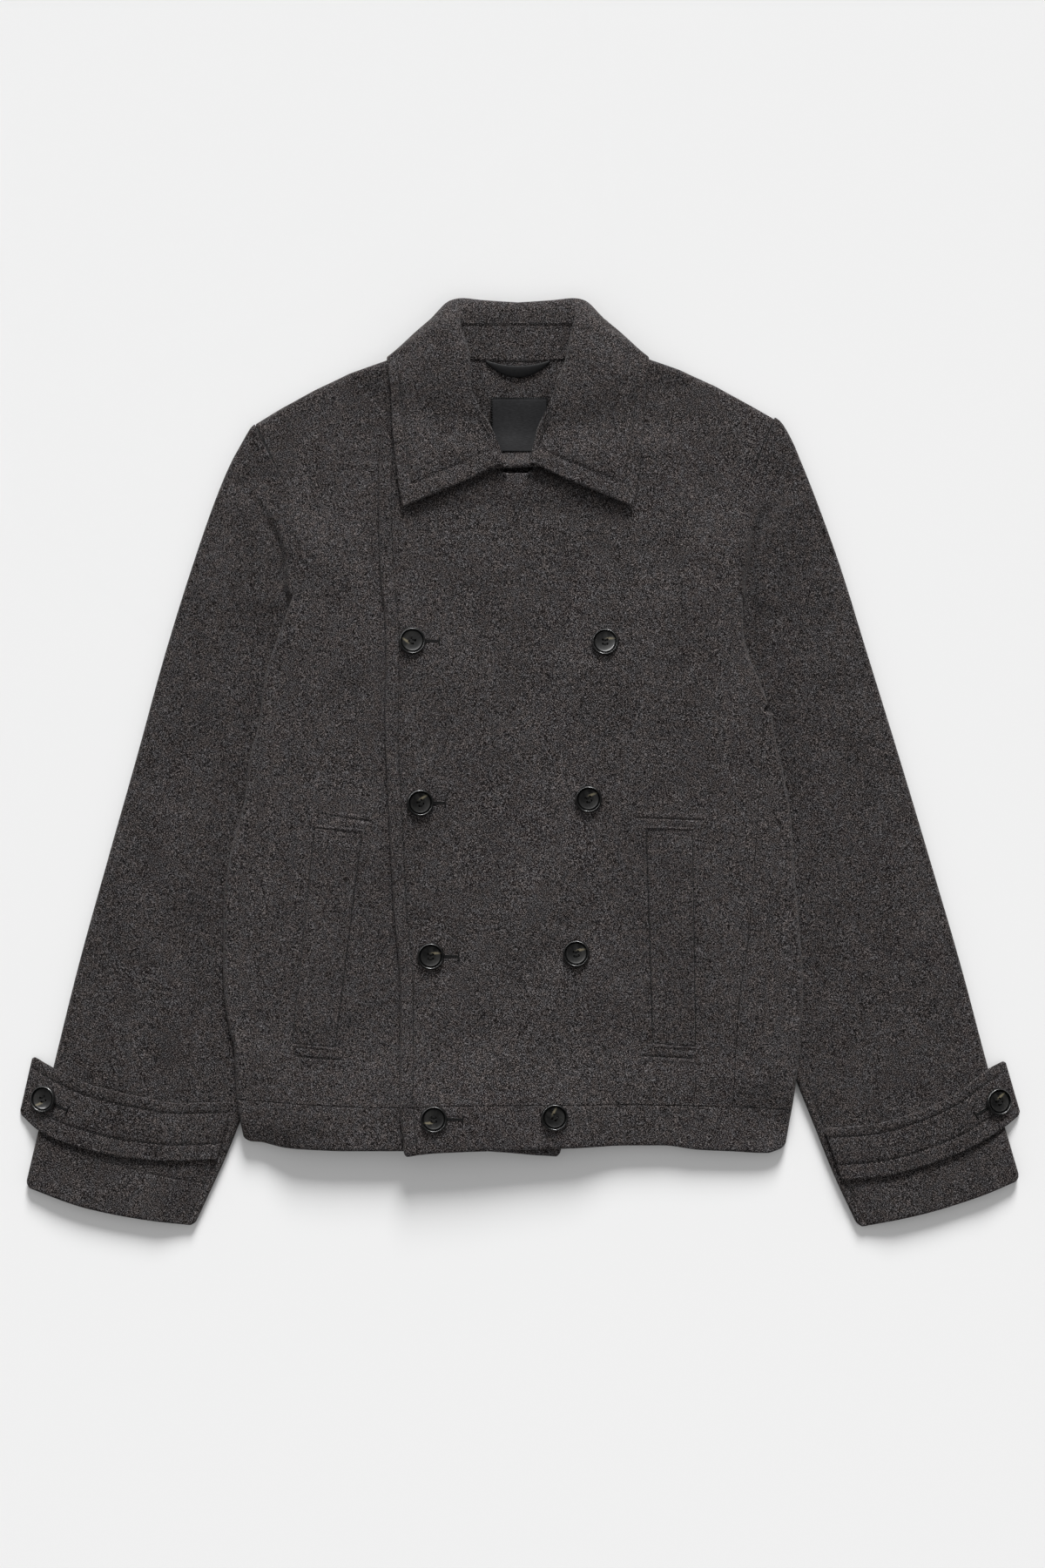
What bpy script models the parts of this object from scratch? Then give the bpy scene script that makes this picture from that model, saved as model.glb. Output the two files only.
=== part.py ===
# A short double-breasted wool coat laid flat on a table, front side up.
# Metres, +Z up. +X is the right of the laid coat as one looks at it, +Y runs from hem to
# collar, z = 0 is the table. Left and right in names are the wearer's, so the wearer's
# left front, which lies on top, is at +X.
import math

import bmesh
import bpy
from mathutils import Matrix, Vector

# ---- cloth and stacking ----
CLOTH = 0.0030            # wall of coat cloth with its lining
LAYER_GAP = 0.0008        # air between two panels that lie on each other
OVERLAP_GAP = 0.0010      # the same where one front lies on the other
SEAM_GAP = 0.0004         # between the edges of two pieces that are sewn together
SLEEVE_FLAT = 0.0068      # height of a sleeve pressed under the body
SLEEVE_CROWN = 0.0098     # height of a sleeve where it lies free
SLEEVE_CUFF = 0.0092      # the same at the cuff
COLLAR_CLOTH = 0.0035     # the collar is double cloth
UNDER_BACK_RISE = SLEEVE_FLAT + 0.0005   # underside of the back where it lies on a sleeve
COLLAR_RISE = COLLAR_CLOTH + 0.0015      # underside of the back on the fall behind the neck
FACING_CLOTH = 0.0015
FACING_GAP = 0.0006
FACING_RISE = FACING_CLOTH + FACING_GAP
LABEL_CLOTH = 0.0006
STRAP_CLOTH = 0.0035
WELT_CLOTH = 0.0025
WELT_GAP = 0.0010
BODY_LOFT = 0.0021        # how far the fronts stand up in the middle of the chest
RISE_RUN = 0.085          # length of the slope beside whatever lifts a panel
EDGE_ROLL = 0.0048        # radius of a folded side or shoulder edge
BACK_INSET = 0.0042       # the back's edge lies this far inside a rolled front edge
CENTRE_Y = -0.0003        # moves the whole coat so that its box is centred on the origin
CENTRE_X = 0.0

# ---- buttons ----
BUTTON_RADIUS = 0.0115
BUTTON_HEIGHT = 0.0040
BUTTON_LIFT = 0.0007
HOLE_RADIUS = 0.0009
HOLE_OFFSET = 0.0019

# ---- the coat's outline, seen from above ----
# body side at the wearer's right (-X): height on the coat, edge position
SIDE_RIGHT = (
    # y, x
    (-0.3175, -0.2312), (-0.3020, -0.2372), (-0.2800, -0.2409), (-0.2390, -0.2431),
    (-0.2250, -0.2472), (-0.1800, -0.2520), (-0.1280, -0.2520), (-0.0836, -0.2475),
    (-0.0318, -0.2342), (0.0030, -0.2298), (0.0318, -0.2224), (0.0762, -0.2157),
    (0.1177, -0.2017), (0.1384, -0.1942), (0.1709, -0.1854), (0.2087, -0.1935),
    (0.2398, -0.2017), (0.2553, -0.2091), (0.2880, -0.2224),
)
# body side at the wearer's left (+X)
SIDE_LEFT = (
    # y, x
    (-0.3263, 0.2250), (-0.2908, 0.2312), (-0.2686, 0.2342), (-0.2250, 0.2379),
    (-0.1968, 0.2401), (-0.1443, 0.2372), (-0.0836, 0.2320), (-0.0488, 0.2298),
    (-0.0111, 0.2238), (0.0215, 0.2164), (0.0407, 0.2135), (0.0666, 0.2046),
    (0.0895, 0.1950), (0.1162, 0.1891), (0.1310, 0.1891), (0.1643, 0.1846),
    (0.2050, 0.1883), (0.2346, 0.1942), (0.2590, 0.2017), (0.2930, 0.2160),
)
# side seam of the wearer's left side, brought round to the front
SIDE_SEAM = (
    # y, x
    (-0.2908, 0.1802), (-0.2020, 0.1854), (-0.1502, 0.1928), (-0.0614, 0.2002), (0.0459, 0.2068),
)
SIDE_SEAM_TOP = 0.0459
SEAM_JOG = 0.0060         # above the seam's top the front runs out to the fold again
# long free edge of the over front, and the hidden edge of the under front
OVER_EDGE = (
    # y, x
    (-0.2910, -0.1020), (-0.1931, -0.1018), (-0.1280, -0.1069), (-0.0407, -0.1114),
    (0.0348, -0.1143), (0.1066, -0.1136), (0.1680, -0.1188), (0.2346, -0.1202), (0.2745, -0.1180),
)
UNDER_EDGE = (
    # y, x
    (-0.3330, 0.0344), (-0.2900, 0.0380), (-0.1630, 0.0580), (-0.0330, 0.0780),
    (0.1030, 0.0940), (0.2000, 0.1060), (0.2560, 0.1130),
)
# top edge of each front, from its free corner along the neckline and the shoulder
OVER_TOP = (
    # share of the columns, x, y
    (0.000, -0.1180, 0.2745), (0.150, -0.0700, 0.2640), (0.330, -0.0120, 0.2530),
    (0.380, 0.0080, 0.2520), (0.405, 0.0160, 0.2620), (0.425, 0.0220, 0.2790),
    (0.445, 0.0290, 0.2950), (0.465, 0.0350, 0.3130), (0.485, 0.0420, 0.3310),
    (0.505, 0.0460, 0.3450), (0.525, 0.0500, 0.3590), (0.585, 0.0750, 0.3555),
    (0.665, 0.1060, 0.3445), (0.740, 0.1358, 0.3345), (0.830, 0.1654, 0.3212),
    (0.920, 0.1950, 0.3050), (1.000, 0.2160, 0.2930),
)
UNDER_TOP = (
    # share of the columns, x, y
    (0.000, -0.2224, 0.2880), (0.080, -0.2046, 0.3012), (0.170, -0.1750, 0.3175),
    (0.260, -0.1454, 0.3315), (0.330, -0.1130, 0.3425), (0.410, -0.0790, 0.3545),
    (0.475, -0.0538, 0.3590), (0.495, -0.0494, 0.3450), (0.515, -0.0474, 0.3310),
    (0.535, -0.0459, 0.3160), (0.550, -0.0424, 0.3080), (0.570, -0.0349, 0.2940),
    (0.590, -0.0269, 0.2770), (0.605, -0.0209, 0.2630), (0.625, -0.0144, 0.2490),
    (0.680, 0.0080, 0.2470),
    (0.840, 0.0600, 0.2510), (1.000, 0.1130, 0.2560),
)
BACK_TOP = (
    # x, y
    (-0.2224, 0.2840), (-0.2046, 0.2972), (-0.1750, 0.3135), (-0.1454, 0.3275),
    (-0.1130, 0.3385), (-0.0790, 0.3500), (-0.0548, 0.3545), (-0.0490, 0.3450),
    (-0.0440, 0.3408), (-0.0020, 0.3400), (0.0370, 0.3425), (0.0440, 0.3470),
    (0.0510, 0.3545), (0.0750, 0.3510), (0.1060, 0.3405), (0.1358, 0.3305),
    (0.1654, 0.3172), (0.1950, 0.3010), (0.2160, 0.2890),
)
# seam between panels and hem band, and the hem itself
BAND_SEAM = (
    # x, y
    (-0.2410, -0.2850), (-0.1084, -0.2920), (-0.0566, -0.2900), (0.0766, -0.2895),
    (0.1802, -0.2915), (0.2320, -0.2940),
)
HEM_OVER = (
    # x, y
    (-0.0980, -0.3330), (-0.0714, -0.3300), (-0.0122, -0.3278), (0.0470, -0.3260),
    (0.0914, -0.3241), (0.1210, -0.3241), (0.1506, -0.3278), (0.1802, -0.3293),
    (0.2098, -0.3308), (0.2250, -0.3275),
)
HEM_UNDER = (
    # x, y
    (-0.2312, -0.3175), (-0.2194, -0.3219), (-0.1898, -0.3263), (-0.1454, -0.3286),
    (-0.0714, -0.3290), (-0.0380, -0.3330), (0.0344, -0.3330),
)
HEM_BACK_RISE = 0.0050    # the back's hem lies this far above the front's

# ---- sleeves, seen from above ----
SLEEVE_OUTER_RIGHT = (
    # share of the length, x, y
    (0.00, -0.2262, 0.2876), (0.03, -0.2372, 0.2716), (0.06, -0.2453, 0.2568),
    (0.11, -0.2579, 0.2272), (0.20, -0.2786, 0.1680), (0.32, -0.3016, 0.0940),
    (0.46, -0.3260, 0.0052), (0.60, -0.3511, -0.0836), (0.74, -0.3756, -0.1724),
    (0.87, -0.3984, -0.2650), (1.00, -0.4207, -0.3596),
)
SLEEVE_OUTER_LEFT = (
    # share of the length, x, y
    (0.00, 0.2195, 0.2918), (0.03, 0.2307, 0.2756), (0.06, 0.2387, 0.2568),
    (0.11, 0.2505, 0.2272), (0.20, 0.2719, 0.1680), (0.32, 0.2949, 0.0940),
    (0.46, 0.3223, 0.0052), (0.60, 0.3489, -0.0836), (0.74, 0.3748, -0.1724),
    (0.87, 0.3995, -0.2650), (1.00, 0.4251, -0.3537),
)
SLEEVE_INNER_RIGHT = (
    # share of the length, x, y; from the armpit to the cuff, most of it under the body
    (0.00, -0.1180, 0.0829), (0.08, -0.1230, 0.0496), (0.24, -0.1410, -0.0170),
    (0.42, -0.1650, -0.0910), (0.58, -0.1890, -0.1650), (0.72, -0.2142, -0.2390),
    (0.84, -0.2372, -0.3020), (0.90, -0.2505, -0.3352), (0.95, -0.2640, -0.3648),
    (1.00, -0.2771, -0.3929),
)
SLEEVE_INNER_LEFT = (
    # share of the length, x, y
    (0.00, 0.1170, 0.0829), (0.08, 0.1240, 0.0496), (0.24, 0.1462, -0.0170),
    (0.42, 0.1713, -0.0910), (0.58, 0.1965, -0.1650), (0.72, 0.2182, -0.2242),
    (0.82, 0.2342, -0.2686), (0.88, 0.2490, -0.3056), (0.94, 0.2668, -0.3500),
    (1.00, 0.2875, -0.3944),
)
# armhole: the sewn part follows the body's side edge down to here, then runs hidden to the armpit
ARMHOLE_RIGHT = (
    # share of the head, x, y
    (0.00, -0.2262, 0.2876), (0.16, -0.2095, 0.2553), (0.24, -0.2023, 0.2398),
    (0.38, -0.1940, 0.2087), (0.56, -0.1860, 0.1709), (0.78, -0.1520, 0.1269), (1.00, -0.1180, 0.0829),
)
ARMHOLE_LEFT = (
    # share of the head, x, y
    (0.00, 0.2195, 0.2918), (0.16, 0.2025, 0.2590), (0.26, 0.1948, 0.2346),
    (0.40, 0.1889, 0.2050), (0.58, 0.1852, 0.1643), (0.79, 0.1511, 0.1236), (1.00, 0.1170, 0.0829),
)
CUFF_RIGHT = (
    # share of the cuff, x, y
    (0.00, -0.4207, -0.3596), (0.36, -0.3674, -0.3781), (0.66, -0.3230, -0.3870), (1.00, -0.2771, -0.3929),
)
CUFF_LEFT = (
    # share of the cuff, x, y
    (0.00, 0.4251, -0.3537), (0.28, 0.3874, -0.3690), (0.60, 0.3430, -0.3826), (1.00, 0.2875, -0.3944),
)
SEAM_END_RIGHT = (-0.1854, 0.1709)
SEAM_END_LEFT = (0.1846, 0.1643)
SEWN_PART = 0.57          # share of the sleeve's head that is sewn to the front in the open

# ---- cuff straps: share of the strap, upper edge x, y, lower edge x, y ----
STRAP_RIGHT = (
    (0.00, -0.2450, -0.2872, -0.2575, -0.3360), (0.18, -0.2882, -0.2879, -0.2930, -0.3374),
    (0.42, -0.3208, -0.2827, -0.3330, -0.3345), (0.68, -0.3622, -0.2731, -0.3720, -0.3262),
    (0.86, -0.3978, -0.2575, -0.4089, -0.3115), (1.00, -0.4148, -0.2486, -0.4259, -0.2975),
)
STRAP_LEFT = (
    (0.00, 0.2580, -0.3093, 0.2735, -0.3537), (0.20, 0.2956, -0.3064, 0.3097, -0.3500),
    (0.42, 0.3304, -0.2975, 0.3452, -0.3404), (0.64, 0.3659, -0.2819, 0.3779, -0.3280),
    (0.86, 0.3978, -0.2590, 0.4103, -0.3093), (1.00, 0.4126, -0.2523, 0.4259, -0.2982),
)

# ---- pocket welts: corner x, y, from the lower inner corner anticlockwise ----
WELT_LEFT = ((0.1128, -0.2383), (0.1484, -0.2398), (0.1454, -0.0570), (0.1069, -0.0555))
WELT_RIGHT = ((-0.1928, -0.2368), (-0.1572, -0.2412), (-0.1343, -0.0585), (-0.1735, -0.0548))

# ---- collar: half of it, from the middle of the back to the front corner ----
COLLAR_X = -0.0019        # middle of the neck opening
# Each section runs from the seam with the stand over the roll line to the outer edge.
# The columns hold the distance from the middle, y and z; where on_front is 1, the last
# three z values are heights above the front that the leaf lies on.
COLLAR_HALF = (
    # along, on_front, seam's and roll's lean at the wearer's left,
    # (stand seam), (inner), (roll), (outer roll), (middle), (edge)
    (0.00, 0, 0.0000, 0.0000, (0.0000, 0.3707, 0.0118), (0.0000, 0.3840, 0.0142),
     (0.0000, 0.3915, 0.0085), (0.0000, 0.3860, 0.0006), (0.0000, 0.3560, 0.0000), (0.0000, 0.3262, 0.0000)),
    (0.14, 0, 0.0000, 0.0000, (0.0260, 0.3705, 0.0120), (0.0270, 0.3848, 0.0146),
     (0.0280, 0.3933, 0.0088), (0.0290, 0.3872, 0.0006), (0.0320, 0.3575, 0.0000), (0.0350, 0.3275, 0.0000)),
    (0.27, 0, 0.0000, 0.0000, (0.0425, 0.3702, 0.0126), (0.0450, 0.3853, 0.0156),
     (0.0470, 0.3950, 0.0098), (0.0520, 0.3880, 0.0006), (0.0610, 0.3590, 0.0000), (0.0700, 0.3305, 0.0000)),
    (0.38, 0, 0.0000, 0.0010, (0.0475, 0.3692, 0.0132), (0.0500, 0.3820, 0.0174),
     (0.0590, 0.3915, 0.0118), (0.0700, 0.3815, 0.0030), (0.0850, 0.3650, 0.0006), (0.0970, 0.3420, 0.0000)),
    (0.45, 0, 0.0000, 0.0020, (0.0485, 0.3660, 0.0136), (0.0500, 0.3770, 0.0190),
     (0.0610, 0.3850, 0.0176), (0.0765, 0.3765, 0.0112), (0.0945, 0.3640, 0.0086), (0.1100, 0.3535, 0.0072)),
    (0.53, 0, 0.0000, 0.0025, (0.0475, 0.3590, 0.0140), (0.0480, 0.3680, 0.0200),
     (0.0560, 0.3700, 0.0238), (0.0740, 0.3655, 0.0206), (0.0930, 0.3560, 0.0180), (0.1110, 0.3455, 0.0160)),
    (0.62, 1, 0.0000, 0.0000, (0.0437, 0.3450, 0.0146), (0.0405, 0.3450, 0.0196),
     (0.0470, 0.3440, 0.0106), (0.0660, 0.3420, 0.0088), (0.0880, 0.3330, 0.0068), (0.1085, 0.3230, 0.0054)),
    (0.72, 1, 0.0047, 0.0079, (0.0405, 0.3200, 0.0156), (0.0394, 0.3200, 0.0202),
     (0.0450, 0.3180, 0.0100), (0.0620, 0.3120, 0.0082), (0.0840, 0.3010, 0.0066), (0.1065, 0.2890, 0.0054)),
    (0.80, 1, 0.0038, 0.0072, (0.0325, 0.3000, 0.0162), (0.0310, 0.2990, 0.0206),
     (0.0365, 0.2965, 0.0098), (0.0550, 0.2890, 0.0080), (0.0795, 0.2780, 0.0064), (0.1045, 0.2660, 0.0054)),
    (0.88, 1, 0.0018, 0.0045, (0.0215, 0.2800, 0.0168), (0.0200, 0.2780, 0.0210),
     (0.0255, 0.2750, 0.0094), (0.0470, 0.2660, 0.0078), (0.0745, 0.2540, 0.0064), (0.1020, 0.2420, 0.0056)),
    (1.00, 1, 0.0022, 0.0007, (0.0115, 0.2560, 0.0176), (0.0096, 0.2540, 0.0212),
     (0.0140, 0.2525, 0.0090), (0.0360, 0.2425, 0.0080), (0.0660, 0.2305, 0.0076), (0.0975, 0.2172, 0.0074)),
)
STAND_HALF = (
    # along, lean at the wearer's left, (neck seam), (seam with the fall): distance, y, z
    (0.00, 0.0000, (0.0000, 0.3426, 0.0088), (0.0000, 0.3701, 0.0114)),
    (0.14, 0.0000, (0.0260, 0.3428, 0.0088), (0.0260, 0.3699, 0.0116)),
    (0.27, 0.0000, (0.0400, 0.3442, 0.0089), (0.0422, 0.3695, 0.0122)),
    (0.38, 0.0000, (0.0440, 0.3470, 0.0090), (0.0470, 0.3680, 0.0128)),
    (0.45, 0.0000, (0.0457, 0.3492, 0.0092), (0.0478, 0.3648, 0.0131)),
    (0.53, 0.0000, (0.0458, 0.3500, 0.0096), (0.0470, 0.3580, 0.0134)),
    (0.62, 0.0000, (0.0440, 0.3440, 0.0112), (0.0437, 0.3445, 0.0139)),
    (0.72, 0.0047, (0.0405, 0.3200, 0.0112), (0.0405, 0.3200, 0.0148)),
    (0.80, 0.0038, (0.0325, 0.3000, 0.0112), (0.0325, 0.3000, 0.0154)),
    (0.88, 0.0018, (0.0215, 0.2800, 0.0112), (0.0215, 0.2800, 0.0160)),
    (1.00, 0.0022, (0.0120, 0.2590, 0.0112), (0.0120, 0.2590, 0.0167)),
)

# ---- neck opening ----
FACING_HALF = 0.056
FACING_LOW = 0.2380
LOOP_LEFT = (-0.0285, 0.3372)
LOOP_RIGHT = (0.0248, 0.3372)
LOOP_SAG = 0.0105
LOOP_WIDTH = 0.0060
LABEL_BOX = (-0.0240, 0.0232, 0.2650, 0.3108)

# ---- front buttons: x, y of each, from the top row down ----
OVER_BUTTONS = ((0.0722, 0.1029), (0.0581, -0.0303), (0.0477, -0.1613), (0.0292, -0.2995))
HOLE_BUTTONS = ((-0.0914, 0.1036), (-0.0847, -0.0333), (-0.0758, -0.1635), (-0.0729, -0.3010))
CUFF_BUTTON_RIGHT = (-0.4044, -0.2849)
CUFF_BUTTON_LEFT = (0.4059, -0.2871)

# ---- colours ----
WOOL = (0.045, 0.042, 0.040, 1.0)
SATIN = (0.008, 0.008, 0.010, 1.0)
HORN = (0.012, 0.011, 0.010, 1.0)


# ---- small maths ----
def ease(t):
    t = min(1.0, max(0.0, t))
    return t * t * (3.0 - 2.0 * t)


def mix(a, b, t):
    return a + (b - a) * t


def smooth_line(keys, values):
    """A curve through the values that never overshoots them (Fritsch-Carlson slopes)."""
    count = len(keys)
    steps = [keys[i + 1] - keys[i] for i in range(count - 1)]
    slopes = [(values[i + 1] - values[i]) / steps[i] for i in range(count - 1)]
    tangents = [slopes[0]]
    for i in range(1, count - 1):
        if slopes[i - 1] * slopes[i] <= 0.0:
            tangents.append(0.0)
        else:
            w1 = 2.0 * steps[i] + steps[i - 1]
            w2 = steps[i] + 2.0 * steps[i - 1]
            tangents.append((w1 + w2) / (w1 / slopes[i - 1] + w2 / slopes[i]))
    tangents.append(slopes[-1])

    def at(key):
        key = min(keys[-1], max(keys[0], key))
        i = 0
        while i < count - 2 and key > keys[i + 1]:
            i += 1
        h = steps[i]
        t = (key - keys[i]) / h
        return (
            (1.0 + 2.0 * t) * (1.0 - t) ** 2 * values[i]
            + t * (1.0 - t) ** 2 * h * tangents[i]
            + t * t * (3.0 - 2.0 * t) * values[i + 1]
            + t * t * (t - 1.0) * h * tangents[i + 1]
        )

    return at


def table_line(rows, key=0, value=1):
    return smooth_line([row[key] for row in rows], [row[value] for row in rows])


def straight_line(rows, key=0, value=1):
    """The same table read with straight runs, for outlines that have corners."""
    keys = [row[key] for row in rows]
    values = [row[value] for row in rows]

    def at(k):
        k = min(keys[-1], max(keys[0], k))
        i = 0
        while i < len(keys) - 2 and k > keys[i + 1]:
            i += 1
        return mix(values[i], values[i + 1], (k - keys[i]) / (keys[i + 1] - keys[i]))

    return at


def plan_curve(rows):
    """A curve in plan through rows of share, x, y."""
    fx = straight_line(rows, 0, 1)
    fy = straight_line(rows, 0, 2)
    return lambda share: Vector((fx(share), fy(share)))


side_right = table_line(SIDE_RIGHT)
side_left = table_line(SIDE_LEFT)
side_seam = table_line(SIDE_SEAM)
over_edge = table_line(OVER_EDGE)
under_edge = table_line(UNDER_EDGE)
band_seam = table_line(BAND_SEAM)
inner_right = table_line(sorted((row[2], row[1]) for row in SLEEVE_INNER_RIGHT))
inner_left = table_line(sorted((row[2], row[1]) for row in SLEEVE_INNER_LEFT))
ARMPIT_Y = SLEEVE_INNER_RIGHT[0][2]


# ---- heights: what lies under the panels, and how high each panel lies ----
def hem_fade(x, y):
    """The hem corners come down to the table beside the cuffs."""
    start = -0.308 if x > 0.0 else -0.340
    return ease((y - start) / 0.042)


def on_sleeve_back(x, y):
    """1 where the back lies on a sleeve, 0 on the table."""
    inner = inner_left if x > 0.0 else inner_right
    side = 1.0 if x > 0.0 else -1.0
    if y <= ARMPIT_Y:
        reach = side * (x - inner(y)) * 0.95
    else:
        reach = -math.hypot(x - inner(ARMPIT_Y), y - ARMPIT_Y)
    return ease((reach + RISE_RUN + 0.008) / RISE_RUN) * hem_fade(x, y)


def on_sleeve_front(x, y):
    """The same for the fronts, which cover the sleeve's hidden head too."""
    inner = inner_left if x > 0.0 else inner_right
    seam_end = SEAM_END_LEFT if x > 0.0 else SEAM_END_RIGHT
    side = 1.0 if x > 0.0 else -1.0
    if y <= ARMPIT_Y:
        edge = inner(y)
    else:
        share = min(1.0, (y - ARMPIT_Y) / (seam_end[1] - ARMPIT_Y))
        edge = mix(inner(ARMPIT_Y), seam_end[0], share)
    reach = side * (x - edge) * 0.85
    high = ease((0.243 - y) / 0.070)
    return ease((reach + RISE_RUN + 0.008) / RISE_RUN) * high * hem_fade(x, y)


COLLAR_LOW_EDGE = (
    # distance from the middle, y of the fall's lower edge behind the neck
    (0.000, 0.3262), (0.035, 0.3275), (0.070, 0.3305), (0.099, 0.3400), (0.130, 0.3570), (0.170, 0.3850),
)
collar_low_edge = table_line(COLLAR_LOW_EDGE)


def on_collar(x, y):
    """1 where the back lies on the collar's fall behind the neck."""
    low = collar_low_edge(abs(x - COLLAR_X))
    return ease((y - low + 0.050) / 0.047)


def on_facing(x, y):
    across = ease((FACING_HALF + 0.026 - abs(x - COLLAR_X)) / 0.022)
    return across * ease((y - FACING_LOW + 0.024) / 0.020)


def back_underside(x, y):
    return max(UNDER_BACK_RISE * on_sleeve_back(x, y), COLLAR_RISE * on_collar(x, y))


def back_inside(x, y):
    """The back's upper face, which the facing lies on."""
    return back_underside(x, y) + CLOTH


def chest_loft(x, y):
    sides = ease((x - side_right(y)) / 0.075) * ease((side_left(y) - x) / 0.075)
    ends = ease((y + 0.335) / 0.080) * ease((0.300 - y) / 0.080)
    return BODY_LOFT * sides * ends


def under_face(x, y):
    """Outer face of the under front."""
    rise = max(UNDER_BACK_RISE * on_sleeve_front(x, y), COLLAR_RISE * on_collar(x, y))
    lift = CLOTH + LAYER_GAP + rise + FACING_RISE * on_facing(x, y) + chest_loft(x, y)
    return lift + CLOTH


overlap_limit = table_line(((-0.118, 0.278), (-0.070, 0.269), (-0.012, 0.258), (0.030, 0.258), (0.113, 0.262)))


def overlap_step(x, y):
    """1 where the over front lies on the under front, 0 where it lies on the back."""
    across = 1.0 - ease((x - under_edge(y) - 0.008) / 0.046)
    return across * (1.0 - ease((y - overlap_limit(x)) / 0.028))


def over_face(x, y):
    """Outer face of the over front."""
    return under_face(x, y) + overlap_step(x, y) * (CLOTH + OVERLAP_GAP)


# ---- mesh helpers ----
def wool_material(name, colour, roughness):
    material = bpy.data.materials.new(name)
    material.use_nodes = True
    shader = material.node_tree.nodes["Principled BSDF"]
    shader.inputs["Base Color"].default_value = colour
    shader.inputs["Roughness"].default_value = roughness
    shader.inputs["Metallic"].default_value = 0.0
    return material


def grid_object(name, columns, rows, place, colour=WOOL, roughness=0.95, flip=False, keep=None, weld=False):
    """A grid of columns x rows points set by place(column, row), as an open surface."""
    bm = bmesh.new()
    bmesh.ops.create_grid(bm, x_segments=columns - 1, y_segments=rows - 1, size=1.0)
    index = {}
    for vert in bm.verts:
        i = round((vert.co.x + 1.0) / 2.0 * (columns - 1))
        j = round((vert.co.y + 1.0) / 2.0 * (rows - 1))
        index[vert] = (i, j)
    if keep is not None:
        doomed = [f for f in bm.faces if not keep([index[v] for v in f.verts])]
        bmesh.ops.delete(bm, geom=doomed, context="FACES")
    for vert in bm.verts:
        i, j = index[vert]
        x, y, z = place(i, j)
        vert.co = (x + CENTRE_X, y + CENTRE_Y, z)
    if weld:
        bmesh.ops.remove_doubles(bm, verts=bm.verts, dist=0.00001)
    if flip:
        bmesh.ops.reverse_faces(bm, faces=bm.faces)
    mesh = bpy.data.meshes.new(name)
    bm.to_mesh(mesh)
    bm.free()
    mesh.shade_smooth()
    mesh.set_sharp_from_angle(angle=math.radians(50.0))
    mesh.materials.append(wool_material(name + "_finish", colour, roughness))
    obj = bpy.data.objects.new(name, mesh)
    coat.objects.link(obj)
    return obj


def give_wall(obj, thickness):
    wall = obj.modifiers.new("wall", "SOLIDIFY")
    wall.thickness = thickness
    wall.offset = -1.0
    wall.use_even_offset = False
    wall.use_rim = True
    wall.use_quality_normals = True


class Panel:
    """A panel between four plan curves, laid at the height of a face function."""

    def __init__(self, bottom, top, low, high, face):
        self.bottom, self.top, self.low, self.high = bottom, top, low, high
        self.face = face

    def plan(self, u, v):
        b, t = self.bottom(u), self.top(u)
        left, right = self.low(v), self.high(v)
        corners = (
            (1 - u) * (1 - v) * self.bottom(0) + u * (1 - v) * self.bottom(1)
            + (1 - u) * v * self.top(0) + u * v * self.top(1)
        )
        return (1 - v) * b + v * t + (1 - u) * left + u * right - corners


def edge_share(distance, length):
    return distance / max(length, 0.001)


def rolled(drop_share, face, end, strength):
    """Height of a point on a rolled edge; drop_share 1.0 is the outermost side."""
    radius = min(EDGE_ROLL, max(0.0, face - end))
    return face - drop_share * radius * strength


coat = bpy.data.collections.new("wool_coat")
cutters = bpy.data.collections.new("cutters")


def clear_scene():
    for obj in list(bpy.data.objects):
        bpy.data.objects.remove(obj, do_unlink=True)
    bpy.context.scene.collection.children.link(coat)
    bpy.context.scene.collection.children.link(cutters)


# An edge of a panel is a list of (distance in from the edge, drop, tucked): drop counts in
# roll radii, and tucked marks the row that runs on down to the end of a folded edge.
PLAIN_EDGE = ((0.0, 0.0, 0),)
FOLD_EDGE = ((0.0, 1.0, 1), (0.0, 1.0, 0), (0.0014, 0.30, 0), (0.0048, 0.0, 0))


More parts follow.
